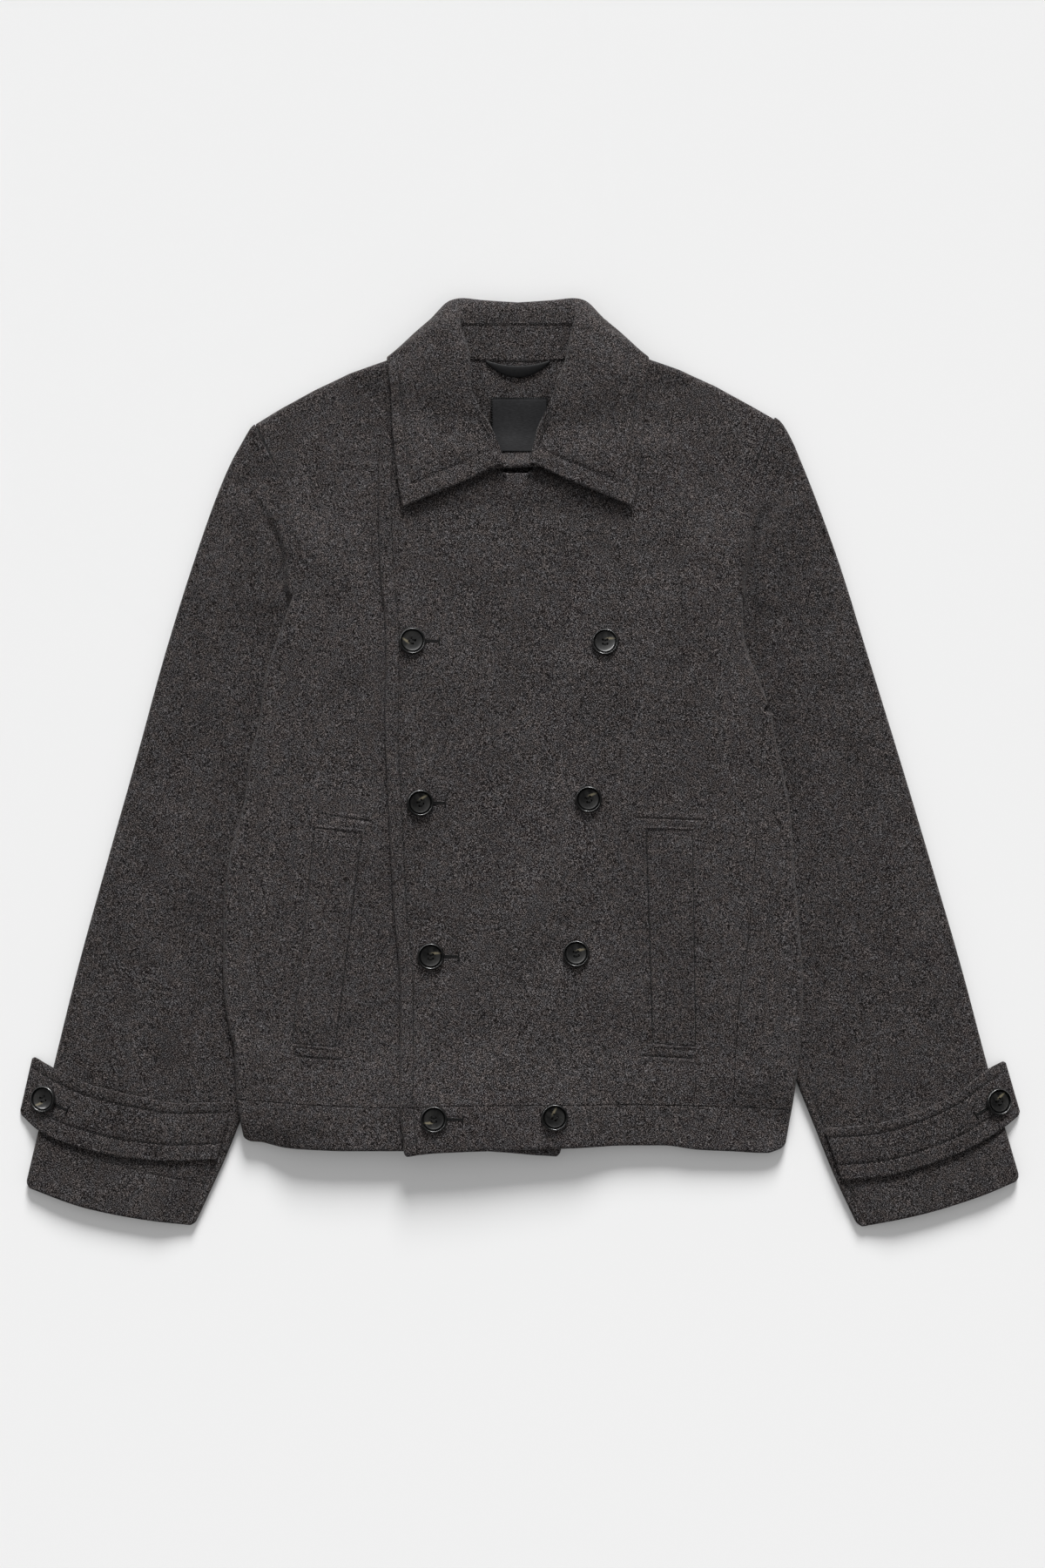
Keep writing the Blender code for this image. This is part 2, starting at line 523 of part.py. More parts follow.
def lay_panel(name, panel, left_edge, right_edge, top_edge, folds, inner_u, inner_v, keep=None):
    """Builds a front or a band. folds(x, y) gives the roll's strength at the left, right and
    top edge and the height at which a folded edge ends."""
    columns = [("left", e) for e in left_edge]
    columns += [("middle", u) for u in inner_u]
    columns += [("right", e) for e in reversed(right_edge)]
    rows = [("middle", v) for v in inner_v]
    rows += [("top", e) for e in reversed(top_edge)]

    def place(i, j):
        kind_u, cu = columns[i]
        kind_v, cv = rows[j]
        guess_u = cu if kind_u == "middle" else (0.0 if kind_u == "left" else 1.0)
        if kind_v == "top":
            height = (panel.top(guess_u) - panel.bottom(guess_u)).length
            v = 1.0 - edge_share(cv[0], height)
        else:
            v = cv
        width = (panel.high(v) - panel.low(v)).length
        if kind_u == "left":
            u = edge_share(cu[0], width)
        elif kind_u == "right":
            u = 1.0 - edge_share(cu[0], width)
        else:
            u = cu
        spot = panel.plan(u, v)
        face = panel.face(spot.x, spot.y)
        left, right, top, end = folds(spot.x, spot.y, u, v)
        z = face
        if kind_u != "middle":
            strength = left if kind_u == "left" else right
            z = min(z, rolled(cu[1], face, end, strength))
            if cu[2]:
                nudge = (1.0 - strength) * 0.0004 * (1.0 if kind_u == "right" else -1.0)
                spot = spot + Vector((nudge, 0.0))
                z = min(z, mix(face, end, strength))
        if kind_v == "top":
            z = min(z, rolled(cv[1], face, end, top))
            if cv[2]:
                spot = spot + Vector((0.0, (1.0 - top) * 0.0004))
                z = min(z, mix(face, end, top))
        return spot.x, spot.y, z

    obj = grid_object(name, len(columns), len(rows), place, keep=keep)
    give_wall(obj, CLOTH)
    return obj


def row_shares(low, high, stations):
    return [(y - low) / (high - low) for y in stations]


# ---- fronts ----
BODY_STATIONS = (-0.248, -0.206, -0.164, -0.124, -0.084, -0.044, -0.004, 0.034)
UPPER_STATIONS = (0.062, 0.090, 0.118, 0.145, 0.171, 0.192, 0.212, 0.232, 0.250, 0.267)


def make_front_over():
    low_y = -0.2905
    top_y = OVER_TOP[-1][2]
    left_top = OVER_TOP[0][2]

    def left(v):
        y = mix(band_seam(-0.102) + SEAM_GAP, left_top, v)
        return Vector((over_edge(y), y))

    def right(v):
        y = mix(band_seam(0.180) + SEAM_GAP, top_y, v)
        if y <= SIDE_SEAM_TOP:
            return Vector((side_seam(y) - SEAM_GAP, y))
        jog = min(1.0, (y - SIDE_SEAM_TOP) / SEAM_JOG)
        return Vector((mix(side_seam(SIDE_SEAM_TOP) - SEAM_GAP, side_left(y), jog), y))

    def bottom(u):
        x = mix(left(0).x, right(0).x, u)
        return Vector((x, band_seam(x) + SEAM_GAP))

    def folds(x, y, u, v):
        side = ease((y - SIDE_SEAM_TOP) / SEAM_JOG) * (1.0 - ease((y - 0.158) / 0.040))
        shoulder = ease((x - 0.056) / 0.020)
        end = mix(0.0006, SLEEVE_FLAT + 0.0006, on_sleeve_front(x, y))
        if v > 0.97:
            end = mix(end, COLLAR_RISE + 0.0010, on_collar(x, y))
        return 0.0, side, shoulder, end

    panel = Panel(bottom, plan_curve(OVER_TOP), left, right, over_face)
    inner_u = [0.04, 0.08, 0.12, 0.165, 0.21, 0.27, 0.33, 0.38, 0.405, 0.425, 0.445, 0.465, 0.485, 0.505, 0.525,
               0.585, 0.625, 0.665, 0.74, 0.785, 0.83, 0.875, 0.92, 0.96]
    stations = BODY_STATIONS + (SIDE_SEAM_TOP, SIDE_SEAM_TOP + SEAM_JOG) + UPPER_STATIONS
    inner_v = [0.0] + row_shares(low_y, top_y, stations)
    return lay_panel("front_over", panel, PLAIN_EDGE, FOLD_EDGE, FOLD_EDGE, folds, inner_u, inner_v)


def make_front_under():
    low_y = -0.2850
    left_top = UNDER_TOP[0][2]
    right_top = UNDER_TOP[-1][2]

    def left(v):
        y = mix(band_seam(-0.240) + SEAM_GAP, left_top, v)
        return Vector((side_right(y), y))

    def right(v):
        y = mix(band_seam(0.038) + SEAM_GAP, right_top, v)
        return Vector((under_edge(y), y))

    def bottom(u):
        x = mix(left(0).x, right(0).x, u)
        return Vector((x, band_seam(x) + SEAM_GAP))

    def folds(x, y, u, v):
        side = 1.0 - ease((y - 0.158) / 0.040)
        shoulder = ease((-0.0600 - x) / 0.020)
        end = mix(0.0006, SLEEVE_FLAT + 0.0006, on_sleeve_front(x, y))
        if v > 0.97:
            end = mix(end, COLLAR_RISE + 0.0010, on_collar(x, y))
        return side, 0.0, shoulder, end

    panel = Panel(bottom, plan_curve(UNDER_TOP), left, right, under_face)
    inner_u = [0.05, 0.10, 0.15, 0.20, 0.25, 0.29, 0.33, 0.37, 0.41, 0.475, 0.495, 0.515, 0.535,
               0.55, 0.57, 0.59, 0.605, 0.625, 0.68, 0.76, 0.84, 0.92]
    inner_v = [0.0] + row_shares(low_y, left_top, BODY_STATIONS + UPPER_STATIONS)
    return lay_panel("front_under", panel, FOLD_EDGE, PLAIN_EDGE, FOLD_EDGE, folds, inner_u, inner_v)


# ---- hem bands of the fronts ----
def make_band_over():
    hem = table_line(HEM_OVER)

    def left(v):
        y = mix(hem(-0.098), band_seam(-0.102) - SEAM_GAP, v)
        return Vector((mix(-0.0980, over_edge(-0.291), v), y))

    def right(v):
        y = mix(hem(0.225), band_seam(0.230) - SEAM_GAP, v)
        return Vector((side_left(y), y))

    def bottom(u):
        x = mix(-0.0980, right(0).x, u)
        return Vector((x, hem(x)))

    def top(u):
        x = mix(over_edge(-0.291), right(1).x, u)
        return Vector((x, band_seam(x) - SEAM_GAP))

    def folds(x, y, u, v):
        end = mix(0.0006, SLEEVE_FLAT + 0.0006, ease((y + 0.281) / 0.012))
        return 0.0, 1.0, 0.0, end

    panel = Panel(bottom, top, left, right, over_face)
    inner_u = [0.06, 0.14, 0.22, 0.30, 0.38, 0.43, 0.48, 0.56, 0.64, 0.72, 0.80, 0.87, 0.93]
    return lay_panel("hem_band_over", panel, PLAIN_EDGE, FOLD_EDGE, PLAIN_EDGE, folds, inner_u, [0.0, 0.33, 0.66])


def make_band_under():
    hem = table_line(HEM_UNDER)

    def left(v):
        y = mix(hem(-0.2312), band_seam(-0.240) - SEAM_GAP, v)
        return Vector((side_right(y), y))

    def right(v):
        y = mix(hem(0.0344), band_seam(0.038) - SEAM_GAP, v)
        return Vector((under_edge(y), y))

    def bottom(u):
        x = mix(left(0).x, right(0).x, u)
        return Vector((x, hem(x)))

    def top(u):
        x = mix(left(1).x, right(1).x, u)
        return Vector((x, band_seam(x) - SEAM_GAP))

    def folds(x, y, u, v):
        end = mix(0.0006, SLEEVE_FLAT + 0.0006, ease((y + 0.312) / 0.012))
        return 1.0, 0.0, 0.0, end

    panel = Panel(bottom, top, left, right, under_face)
    inner_u = [0.06, 0.14, 0.22, 0.31, 0.42, 0.54, 0.66, 0.78, 0.89]
    return lay_panel("hem_band_under", panel, FOLD_EDGE, PLAIN_EDGE, PLAIN_EDGE, folds, inner_u, [0.0, 0.33, 0.66])


# ---- back and its band: the face that touches the table, turned up round the left side ----
def back_left_x(y):
    """Edge at the wearer's right, cut out round the sleeve's hidden head."""
    inset = side_right(y) + BACK_INSET
    if y > SEAM_END_RIGHT[1]:
        return side_right(y) + SEAM_GAP + 0.0012
    armpit = Vector((inner_right(ARMPIT_Y) + 0.006, ARMPIT_Y - 0.004))
    seam_end = Vector((SEAM_END_RIGHT[0] + 0.0016, SEAM_END_RIGHT[1]))
    if y > armpit.y:
        return mix(armpit.x, seam_end.x, (y - armpit.y) / (seam_end.y - armpit.y))
    return mix(inset, armpit.x, ease((y + 0.050) / (armpit.y + 0.050)))


def back_right_x(y):
    inset = side_left(y) - BACK_INSET
    if y > SEAM_END_LEFT[1]:
        return side_left(y) - SEAM_GAP - 0.0012
    armpit = Vector((inner_left(ARMPIT_Y) - 0.006, ARMPIT_Y - 0.004))
    seam_end = Vector((SEAM_END_LEFT[0] - 0.0016, SEAM_END_LEFT[1]))
    if y > armpit.y:
        return mix(armpit.x, seam_end.x, (y - armpit.y) / (seam_end.y - armpit.y))
    return mix(inset, armpit.x, ease((y - SIDE_SEAM_TOP) / (armpit.y - SIDE_SEAM_TOP)))


WRAP_START = 0.0050       # where the back begins to turn up
WRAP_TURN = (-90.0, -45.0, 0.0, 45.0, 90.0)
WRAP_TOP = (0.35, 0.7, 1.0)


def make_back():
    back_top = straight_line(BACK_TOP)
    shares = [0.0, 0.05, 0.10, 0.15, 0.20, 0.23, 0.26, 0.29, 0.335, 0.383, 0.3965, 0.408, 0.455, 0.503, 0.55,
              0.592, 0.608, 0.623, 0.67, 0.71, 0.75, 0.79, 0.84, 0.90, 0.95]
    stations = BODY_STATIONS + (SIDE_SEAM_TOP,) + UPPER_STATIONS + (0.278, 0.288)
    low_y = -0.2850
    high_y = 0.2860
    wrap_rows = len(BODY_STATIONS) + 2
    flat = len(shares)
    columns = flat + len(WRAP_TURN) + len(WRAP_TOP)
    rows = len(stations) + 1

    def place(i, j):
        v = 0.0 if j == 0 else (stations[j - 1] - low_y) / (0.288 - low_y)
        side_y = mix(low_y, high_y, v)
        left_x, right_x = back_left_x(side_y), back_right_x(side_y)
        wrapped = j < wrap_rows
        if wrapped:
            right_x = side_left(side_y) - WRAP_START
        share = shares[i] if i < flat else 1.0
        x = mix(left_x, right_x, share)
        top_x = mix(BACK_TOP[0][0] + 0.0018, BACK_TOP[-1][0] - 0.0018, share)
        x = mix(x, top_x, ease((v - 0.86) / 0.14)) if share not in (0.0, 1.0) else x
        if i < flat or not wrapped:
            y = mix(band_seam(x) + SEAM_GAP, back_top(top_x) - 0.0008, v)
            return x, y, back_underside(x, y)
        right_end = BACK_TOP[-1][1]
        y = mix(band_seam(side_left(side_y)) + SEAM_GAP, right_end, v)
        fold_x = side_left(y)
        under = back_underside(fold_x - WRAP_START, y)
        radius = (over_face(fold_x - WRAP_START, y) - under) / 2.0
        if i < flat + len(WRAP_TURN):
            angle = math.radians(WRAP_TURN[i - flat])
            return fold_x - radius * (1.0 - math.cos(angle)), y, under + radius * (1.0 + math.sin(angle))
        part = WRAP_TOP[i - flat - len(WRAP_TURN)]
        x = mix(fold_x - radius, side_seam(y) + SEAM_GAP, part)
        y = mix(band_seam(x) + SEAM_GAP, right_end, v)
        x = mix(side_left(y) - radius, side_seam(y) + SEAM_GAP, part)
        return x, y, over_face(x, y)

    def keep(corners):
        past_fold = max(i for i, _ in corners) > flat
        above = max(j for _, j in corners) >= wrap_rows
        return not (past_fold and above)

    obj = grid_object("back", columns, rows, place, flip=True, keep=keep)
    give_wall(obj, CLOTH)
    return obj


def make_band_back():
    hem_over = table_line(HEM_OVER)
    hem_under = table_line(HEM_UNDER)
    columns = 15

    def place(i, j):
        share = i / (columns - 1)
        v = j / 2.0
        left_y = mix(-0.3125, -0.2854, v)
        x = mix(side_right(left_y) + BACK_INSET + 0.001, side_left(left_y - 0.004) - BACK_INSET - 0.0015, share)
        low = mix(hem_under(x), hem_over(x), ease((x + 0.098) / 0.05)) + HEM_BACK_RISE
        y = mix(low, band_seam(x) - SEAM_GAP, v)
        return x, y, back_underside(x, y)

    obj = grid_object("hem_band_back", columns, 3, place, flip=True)
    give_wall(obj, CLOTH)
    return obj


# ---- sleeves ----
TURN = (-90.0, -45.0, 0.0, 45.0, 90.0)
SLEEVE_TOP_SHARES = (0.08, 0.20, 0.34, 0.48, 0.57, 0.68, 0.80, 0.92)
SLEEVE_LOW_SHARES = (0.80, 0.57, 0.34, 0.12)


def make_sleeve(name, outer_rows, inner_rows, head_rows, cuff_rows, side_edge, side, corner_y):
    outer, inner = plan_curve(outer_rows), plan_curve(inner_rows)
    head_line, cuff = plan_curve(head_rows), plan_curve(cuff_rows)
    clear = Vector((side * 0.0014, 0.0))

    def head(s):
        return head_line(s) + clear * (1.0 - s)
    stations = (0.0, 0.03, 0.07, 0.12, 0.19, 0.27, 0.36, 0.46, 0.56, 0.66, 0.75, 0.83, 0.90, 0.96, 1.0)

    def plan(s, t):
        blend_corners = (
            (1 - s) * (1 - t) * head(0) + s * (1 - t) * head(1)
            + (1 - s) * t * cuff(0) + s * t * cuff(1)
        )
        return (1 - t) * head(s) + t * cuff(s) + (1 - s) * outer(t) + s * inner(t) - blend_corners

    def height(x, y, t):
        edge_y = max(corner_y, y)
        out = side * (x - side_edge(edge_y))
        if y < corner_y:
            out = math.hypot(max(0.0, out), corner_y - y)
        crown = mix(SLEEVE_CROWN, SLEEVE_CUFF, ease((t - 0.7) / 0.3))
        from_edge = (Vector((x, y)) - outer(t)).length
        crown = mix(SLEEVE_FLAT + 0.0004, crown, ease(from_edge / 0.034))
        return mix(SLEEVE_FLAT, crown, ease(out / 0.045))

    ring = [("outer", a) for a in TURN]
    ring += [("top", s) for s in SLEEVE_TOP_SHARES]
    ring += [("inner", a) for a in reversed(TURN)]
    ring += [("low", s) for s in SLEEVE_LOW_SHARES]
    ring.append(ring[0])

    def place(i, j):
        kind, value = ring[i]
        t = stations[j]
        width = (outer(t) - inner(t)).length
        if kind == "top":
            spot = plan(value, t)
            return spot.x, spot.y, height(spot.x, spot.y, t)
        if kind == "low":
            spot = plan(value, t)
            return spot.x, spot.y, 0.0
        angle = math.radians(value)
        rim = plan(0.02 if kind == "outer" else 0.98, t)
        half = height(rim.x, rim.y, t) / 2.0
        inset = half * (1.0 - math.cos(angle))
        s = edge_share(inset, width)
        spot = plan(s if kind == "outer" else 1.0 - s, t)
        return spot.x, spot.y, half * (1.0 + math.sin(angle))

    obj = grid_object(name, len(ring), len(stations), place, weld=True, flip=side < 0)
    give_wall(obj, CLOTH)
    return obj, height


# ---- cuff straps ----
STRAP_BED = (
    # distance past the sleeve's outer edge, height of the strap's underside
    (-0.040, 0.0104), (-0.026, 0.0100), (-0.014, 0.0092), (-0.004, 0.0078),
    (0.003, 0.0058), (0.010, 0.0030), (0.016, 0.0010), (0.026, 0.0006),
)
strap_bed = table_line(STRAP_BED)


def make_strap(name, rows, outer_rows, side):
    outer_x = table_line(sorted((row[2], row[1]) for row in outer_rows))
    top_x, top_y = table_line(rows, 0, 1), table_line(rows, 0, 2)
    low_x, low_y = table_line(rows, 0, 3), table_line(rows, 0, 4)
    shares = (0.0, 0.12, 0.26, 0.40, 0.54, 0.66, 0.76, 0.84, 0.89, 0.93, 0.965, 1.0)

    def face(x, y):
        return strap_bed(side * (x - outer_x(y))) + STRAP_CLOTH

    def place(i, j):
        share = shares[i]
        v = j / 3.0
        x = mix(low_x(share), top_x(share), v)
        y = mix(low_y(share), top_y(share), v)
        return x, y, face(x, y)

    obj = grid_object(name, len(shares), 4, place, flip=side < 0)
    give_wall(obj, STRAP_CLOTH)
    return obj, face


# ---- pocket welts ----
def make_welt(name, corners, face):
    low_in, low_out, high_out, high_in = (Vector(c) for c in corners)

    def place(i, j):
        u, v = i / 3.0, j / 9.0
        spot = (1 - v) * mix(low_in, low_out, u) + v * mix(high_in, high_out, u)
        return spot.x, spot.y, face(spot.x, spot.y) + WELT_GAP + WELT_CLOTH

    obj = grid_object(name, 4, 10, place)
    give_wall(obj, WELT_CLOTH)
    return obj


# ---- collar ----
def point_lines(rows, column):
    """x, y and z of one column of points, each as a smooth line along the collar."""
    alongs = [row[0] for row in rows]
    return [smooth_line(alongs, [row[column][axis] for row in rows]) for axis in range(3)]


HALF_STEPS = (0.0, 0.10, 0.19, 0.26, 0.32, 0.38, 0.42, 0.46, 0.50, 0.55, 0.60, 0.66, 0.72, 0.80, 0.88, 0.95, 1.0)
COLLAR_STEPS = [-a for a in reversed(HALF_STEPS[1:])] + list(HALF_STEPS)


def make_collar_fall():
    lines = [point_lines(COLLAR_HALF, column) for column in range(4, 10)]
    on_front = table_line(COLLAR_HALF, 0, 1)
    seam_lean, roll_lean = table_line(COLLAR_HALF, 0, 2), table_line(COLLAR_HALF, 0, 3)
    knots = (0.0, 0.10, 0.20, 0.32, 0.65, 1.0)
    across = (0.0, 0.05, 0.10, 0.15, 0.20, 0.26, 0.32, 0.44, 0.58, 0.72, 0.86, 1.0)

    def place(i, j):
        along = abs(COLLAR_STEPS[i])
        side = -1.0 if COLLAR_STEPS[i] < 0.0 else 1.0
        leans = (0.0,) * 6
        if side > 0.0:
            roll = roll_lean(along)
            leans = (seam_lean(along), roll, roll, roll * 0.5, 0.0, 0.0)
        points = []
        for number, (line, lean) in enumerate(zip(lines, leans)):
            out, y, z = (axis(along) for axis in line)
            x = COLLAR_X + side * (out - lean)
            if number >= 2:
                z = z + on_front(along) * over_face(x, y)
            points.append((x, y, z))
        share = across[j]
        return tuple(smooth_line(knots, [point[axis] for point in points])(share) for axis in range(3))

    obj = grid_object("collar_fall", len(COLLAR_STEPS), len(across), place)
    give_wall(obj, COLLAR_CLOTH)
    return obj


def make_collar_stand():
    low, high = point_lines(STAND_HALF, 2), point_lines(STAND_HALF, 3)
    lean = table_line(STAND_HALF, 0, 1)

    def place(i, j):
        along = abs(COLLAR_STEPS[i])
        side = -1.0 if COLLAR_STEPS[i] < 0.0 else 1.0
        out, y, z = (mix(a(along), b(along), j / 2.0) for a, b in zip(low, high))
        if side > 0.0:
            out = out - lean(along)
        return COLLAR_X + side * out, y, z

    obj = grid_object("collar_stand", len(COLLAR_STEPS), 3, place)
    give_wall(obj, 0.0028)
    return obj


# ---- inside the neck ----
def make_facing():
    top = straight_line(BACK_TOP)
    xs = (-0.0560, -0.0490, -0.0440, -0.0300, -0.0160, -0.0020, 0.0120, 0.0260, 0.0370, 0.0440, 0.0522)

    def place(i, j):
        x = xs[i]
        y = mix(FACING_LOW, top(x) - 0.0006, j / 6.0)
        return x, y, back_inside(x, y) + FACING_GAP + FACING_CLOTH

    obj = grid_object("back_neck_facing", len(xs), 7, place)
    give_wall(obj, FACING_CLOTH)
    return obj


def facing_face(x, y):
    return back_inside(x, y) + FACING_GAP + FACING_CLOTH


def make_label():
    x0, x1, y0, y1 = LABEL_BOX

    def place(i, j):
        x = mix(x0, x1, i / 4.0)
        y = mix(y0, y1, j / 4.0)
        return x, y, facing_face(x, y) + 0.0005 + LABEL_CLOTH

    obj = grid_object("neck_label", 5, 5, place, colour=SATIN, roughness=0.4)
    give_wall(obj, LABEL_CLOTH)
    return obj


def make_loop():
    steps = 12

    def place(i, j):
        t = i / steps
        x = mix(LOOP_LEFT[0], LOOP_RIGHT[0], t)
        sag = LOOP_SAG * (1.0 - (2.0 * t - 1.0) ** 2)
        y = mix(LOOP_LEFT[1], LOOP_RIGHT[1], t) - sag + (j - 1.0) * LOOP_WIDTH / 2.0 * (0.4 + 0.6 * sag / LOOP_SAG)
        return x, y, facing_face(x, y) + 0.0005 + 0.0012 + 0.0010 * sag / LOOP_SAG

    obj = grid_object("hanger_loop", steps + 1, 3, place, colour=SATIN, roughness=0.4)
    give_wall(obj, 0.0012)
    return obj


# ---- buttons ----
def make_button(name, x, y, face, lift=BUTTON_LIFT):
    reach = BUTTON_RADIUS
    slope_x = (face(x + reach, y) - face(x - reach, y)) / (2 * reach)
    slope_y = (face(x, y + reach) - face(x, y - reach)) / (2 * reach)
    normal = Vector((-slope_x, -slope_y, 1.0)).normalized()
    base = face(x, y)
    for step in range(24):
        angle = math.tau * step / 24.0
        for part in (0.5, 0.9):
            dx, dy = part * reach * math.cos(angle), part * reach * math.sin(angle)
            base = max(base, face(x + dx, y + dy) - slope_x * dx - slope_y * dy)
    profile = (
        # radius, height
        (0.0, 0.0024), (0.0068, 0.0026), (0.0086, 0.0039), (0.0106, 0.0037),
        (BUTTON_RADIUS, 0.0024), (0.0092, 0.0), (0.0, 0.0),
    )
    bm = bmesh.new()
    verts = [bm.verts.new((r, 0.0, z)) for r, z in profile]
    for a, b in zip(verts, verts[1:]):
        bm.edges.new((a, b))
    mesh = bpy.data.meshes.new(name)
    bm.to_mesh(mesh)
    bm.free()
    obj = bpy.data.objects.new(name, mesh)
    mesh.materials.append(wool_material(name + "_finish", HORN, 0.25))
    coat.objects.link(obj)
    turn = obj.modifiers.new("turned", "SCREW")
    turn.axis = "Z"
    turn.angle = math.tau
    turn.steps = 12
    turn.render_steps = 12
    turn.use_merge_vertices = True
    turn.merge_threshold = 0.00005
    turn.use_smooth_shade = True
    holes = obj.modifiers.new("holes", "BOOLEAN")
    holes.operation = "DIFFERENCE"
    holes.object = hole_cutter(obj)
    spin = Vector((0.0, 0.0, 1.0)).rotation_difference(normal)
    spot = Vector((x + CENTRE_X, y + CENTRE_Y, base)) + normal * lift
    obj.matrix_world = Matrix.Translation(spot) @ spin.to_matrix().to_4x4()
    return obj


def hole_cutter(parent):
    bm = bmesh.new()
    for sx in (-1.0, 1.0):
        for sy in (-1.0, 1.0):
            place = Matrix.Translation((sx * HOLE_OFFSET, sy * HOLE_OFFSET, BUTTON_HEIGHT / 2.0))
            bmesh.ops.create_cone(
                bm, cap_ends=True, segments=4, radius1=HOLE_RADIUS, radius2=HOLE_RADIUS,
                depth=BUTTON_HEIGHT * 2.0, matrix=place,
            )
    mesh = bpy.data.meshes.new(parent.name + "_holes")
    bm.to_mesh(mesh)
    bm.free()
    cutter = bpy.data.objects.new(parent.name + "_holes", mesh)
    cutter.hide_render = True
    cutter.display_type = "WIRE"
    cutter.parent = parent
    cutters.objects.link(cutter)
    return cutter


def main():
    clear_scene()
    make_back()
    make_band_back()
    make_front_under()
    make_band_under()
    make_front_over()
    make_band_over()
    make_sleeve("sleeve_right", SLEEVE_OUTER_RIGHT, SLEEVE_INNER_RIGHT, ARMHOLE_RIGHT, CUFF_RIGHT,
                side_right, -1.0, -0.3020)
    make_sleeve("sleeve_left", SLEEVE_OUTER_LEFT, SLEEVE_INNER_LEFT, ARMHOLE_LEFT, CUFF_LEFT,
                side_left, 1.0, -0.2686)
    _, strap_right_face = make_strap("cuff_strap_right", STRAP_RIGHT, SLEEVE_OUTER_RIGHT, -1.0)
    _, strap_left_face = make_strap("cuff_strap_left", STRAP_LEFT, SLEEVE_OUTER_LEFT, 1.0)
    make_welt("pocket_welt_right", WELT_RIGHT, under_face)
    make_welt("pocket_welt_left", WELT_LEFT, over_face)
    make_collar_fall()
    make_collar_stand()
    make_facing()
    make_label()
    make_loop()
    for number, (x, y) in enumerate(OVER_BUTTONS, 1):
        make_button(f"button_{number}_sewn", x, y, over_face)
    for number, (x, y) in enumerate(HOLE_BUTTONS, 1):
        make_button(f"button_{number}_through", x, y, over_face)
    make_button("button_cuff_right", *CUFF_BUTTON_RIGHT, strap_right_face)
    make_button("button_cuff_left", *CUFF_BUTTON_LEFT, strap_left_face)


main()
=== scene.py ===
# Looks of a short double-breasted wool coat that lies flat, front side up, on a pale floor.
# Metres. +X is the wearer's left, +Y runs from hem to collar, z = 0 is the floor.
import math
from functools import partial

import bmesh
import bpy
import numpy as np
from mathutils import Matrix, Vector


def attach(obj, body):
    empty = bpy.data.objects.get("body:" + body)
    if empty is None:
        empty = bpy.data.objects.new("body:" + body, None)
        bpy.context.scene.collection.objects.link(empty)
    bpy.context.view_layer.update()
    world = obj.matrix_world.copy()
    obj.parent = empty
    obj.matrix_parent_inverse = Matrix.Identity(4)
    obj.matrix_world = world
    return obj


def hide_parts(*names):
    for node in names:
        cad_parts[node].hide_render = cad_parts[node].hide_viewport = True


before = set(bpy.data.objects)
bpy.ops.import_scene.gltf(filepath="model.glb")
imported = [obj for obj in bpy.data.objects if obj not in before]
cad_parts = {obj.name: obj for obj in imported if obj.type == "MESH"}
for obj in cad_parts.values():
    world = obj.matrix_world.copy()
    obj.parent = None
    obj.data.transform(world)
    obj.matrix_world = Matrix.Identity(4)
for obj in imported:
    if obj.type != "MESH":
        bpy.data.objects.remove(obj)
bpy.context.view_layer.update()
print("coat: solids loaded")

# how the coat sits on the origin: plan tables below are measured from the picture's own middle
shiftX, shiftY = 0.0, -0.0003


# small maths on arrays
def ease(t):
    t = np.clip(t, 0.0, 1.0)
    return t * t * (3.0 - 2.0 * t)


def mix(a, b, t):
    return a + (b - a) * t


def bendSlopes(slopes, steps):
    # the slope at each row, so that the curve never overshoots the rows
    w1 = 2.0 * steps[1:] + steps[:-1]
    w2 = steps[1:] + 2.0 * steps[:-1]
    bend = slopes[:-1] * slopes[1:]
    safe = np.where(bend > 0.0, bend, 1.0)
    under = np.where(bend > 0.0, w1 * slopes[1:] + w2 * slopes[:-1], 1.0)
    inner = np.where(bend > 0.0, (w1 + w2) * safe / under, 0.0)
    return np.concatenate([slopes[:1], inner, slopes[-1:]])


def cubic(t, h, p0, p1, m0, m1):
    # from p0 to p1 over the step h, with the slopes m0 and m1 at its ends
    start = (1.0 + 2.0 * t) * (1.0 - t) ** 2 * p0 + t * (1.0 - t) ** 2 * h * m0
    return start + t * t * (3.0 - 2.0 * t) * p1 + t * t * (t - 1.0) * h * m1


def smoothLine(rows, key=0, value=1):
    keys = np.array([row[key] for row in rows], float)
    values = np.array([row[value] for row in rows], float)
    steps = np.diff(keys)
    tangents = bendSlopes(np.diff(values) / steps, steps)

    def at(k):
        k = np.clip(k, keys[0], keys[-1])
        i = np.clip(np.searchsorted(keys, k, side="right") - 1, 0, len(keys) - 2)
        t = (k - keys[i]) / steps[i]
        return cubic(t, steps[i], values[i], values[i + 1], tangents[i], tangents[i + 1])

    return at


def straightLine(rows, key=0, value=1):
    keys = [row[key] for row in rows]
    values = [row[value] for row in rows]
    return lambda k: np.interp(k, keys, values)


def planCurve(rows, line=straightLine):
    fx, fy = line(rows, 0, 1), line(rows, 0, 2)
    return lambda share: np.stack(np.broadcast_arrays(fx(share), fy(share)))


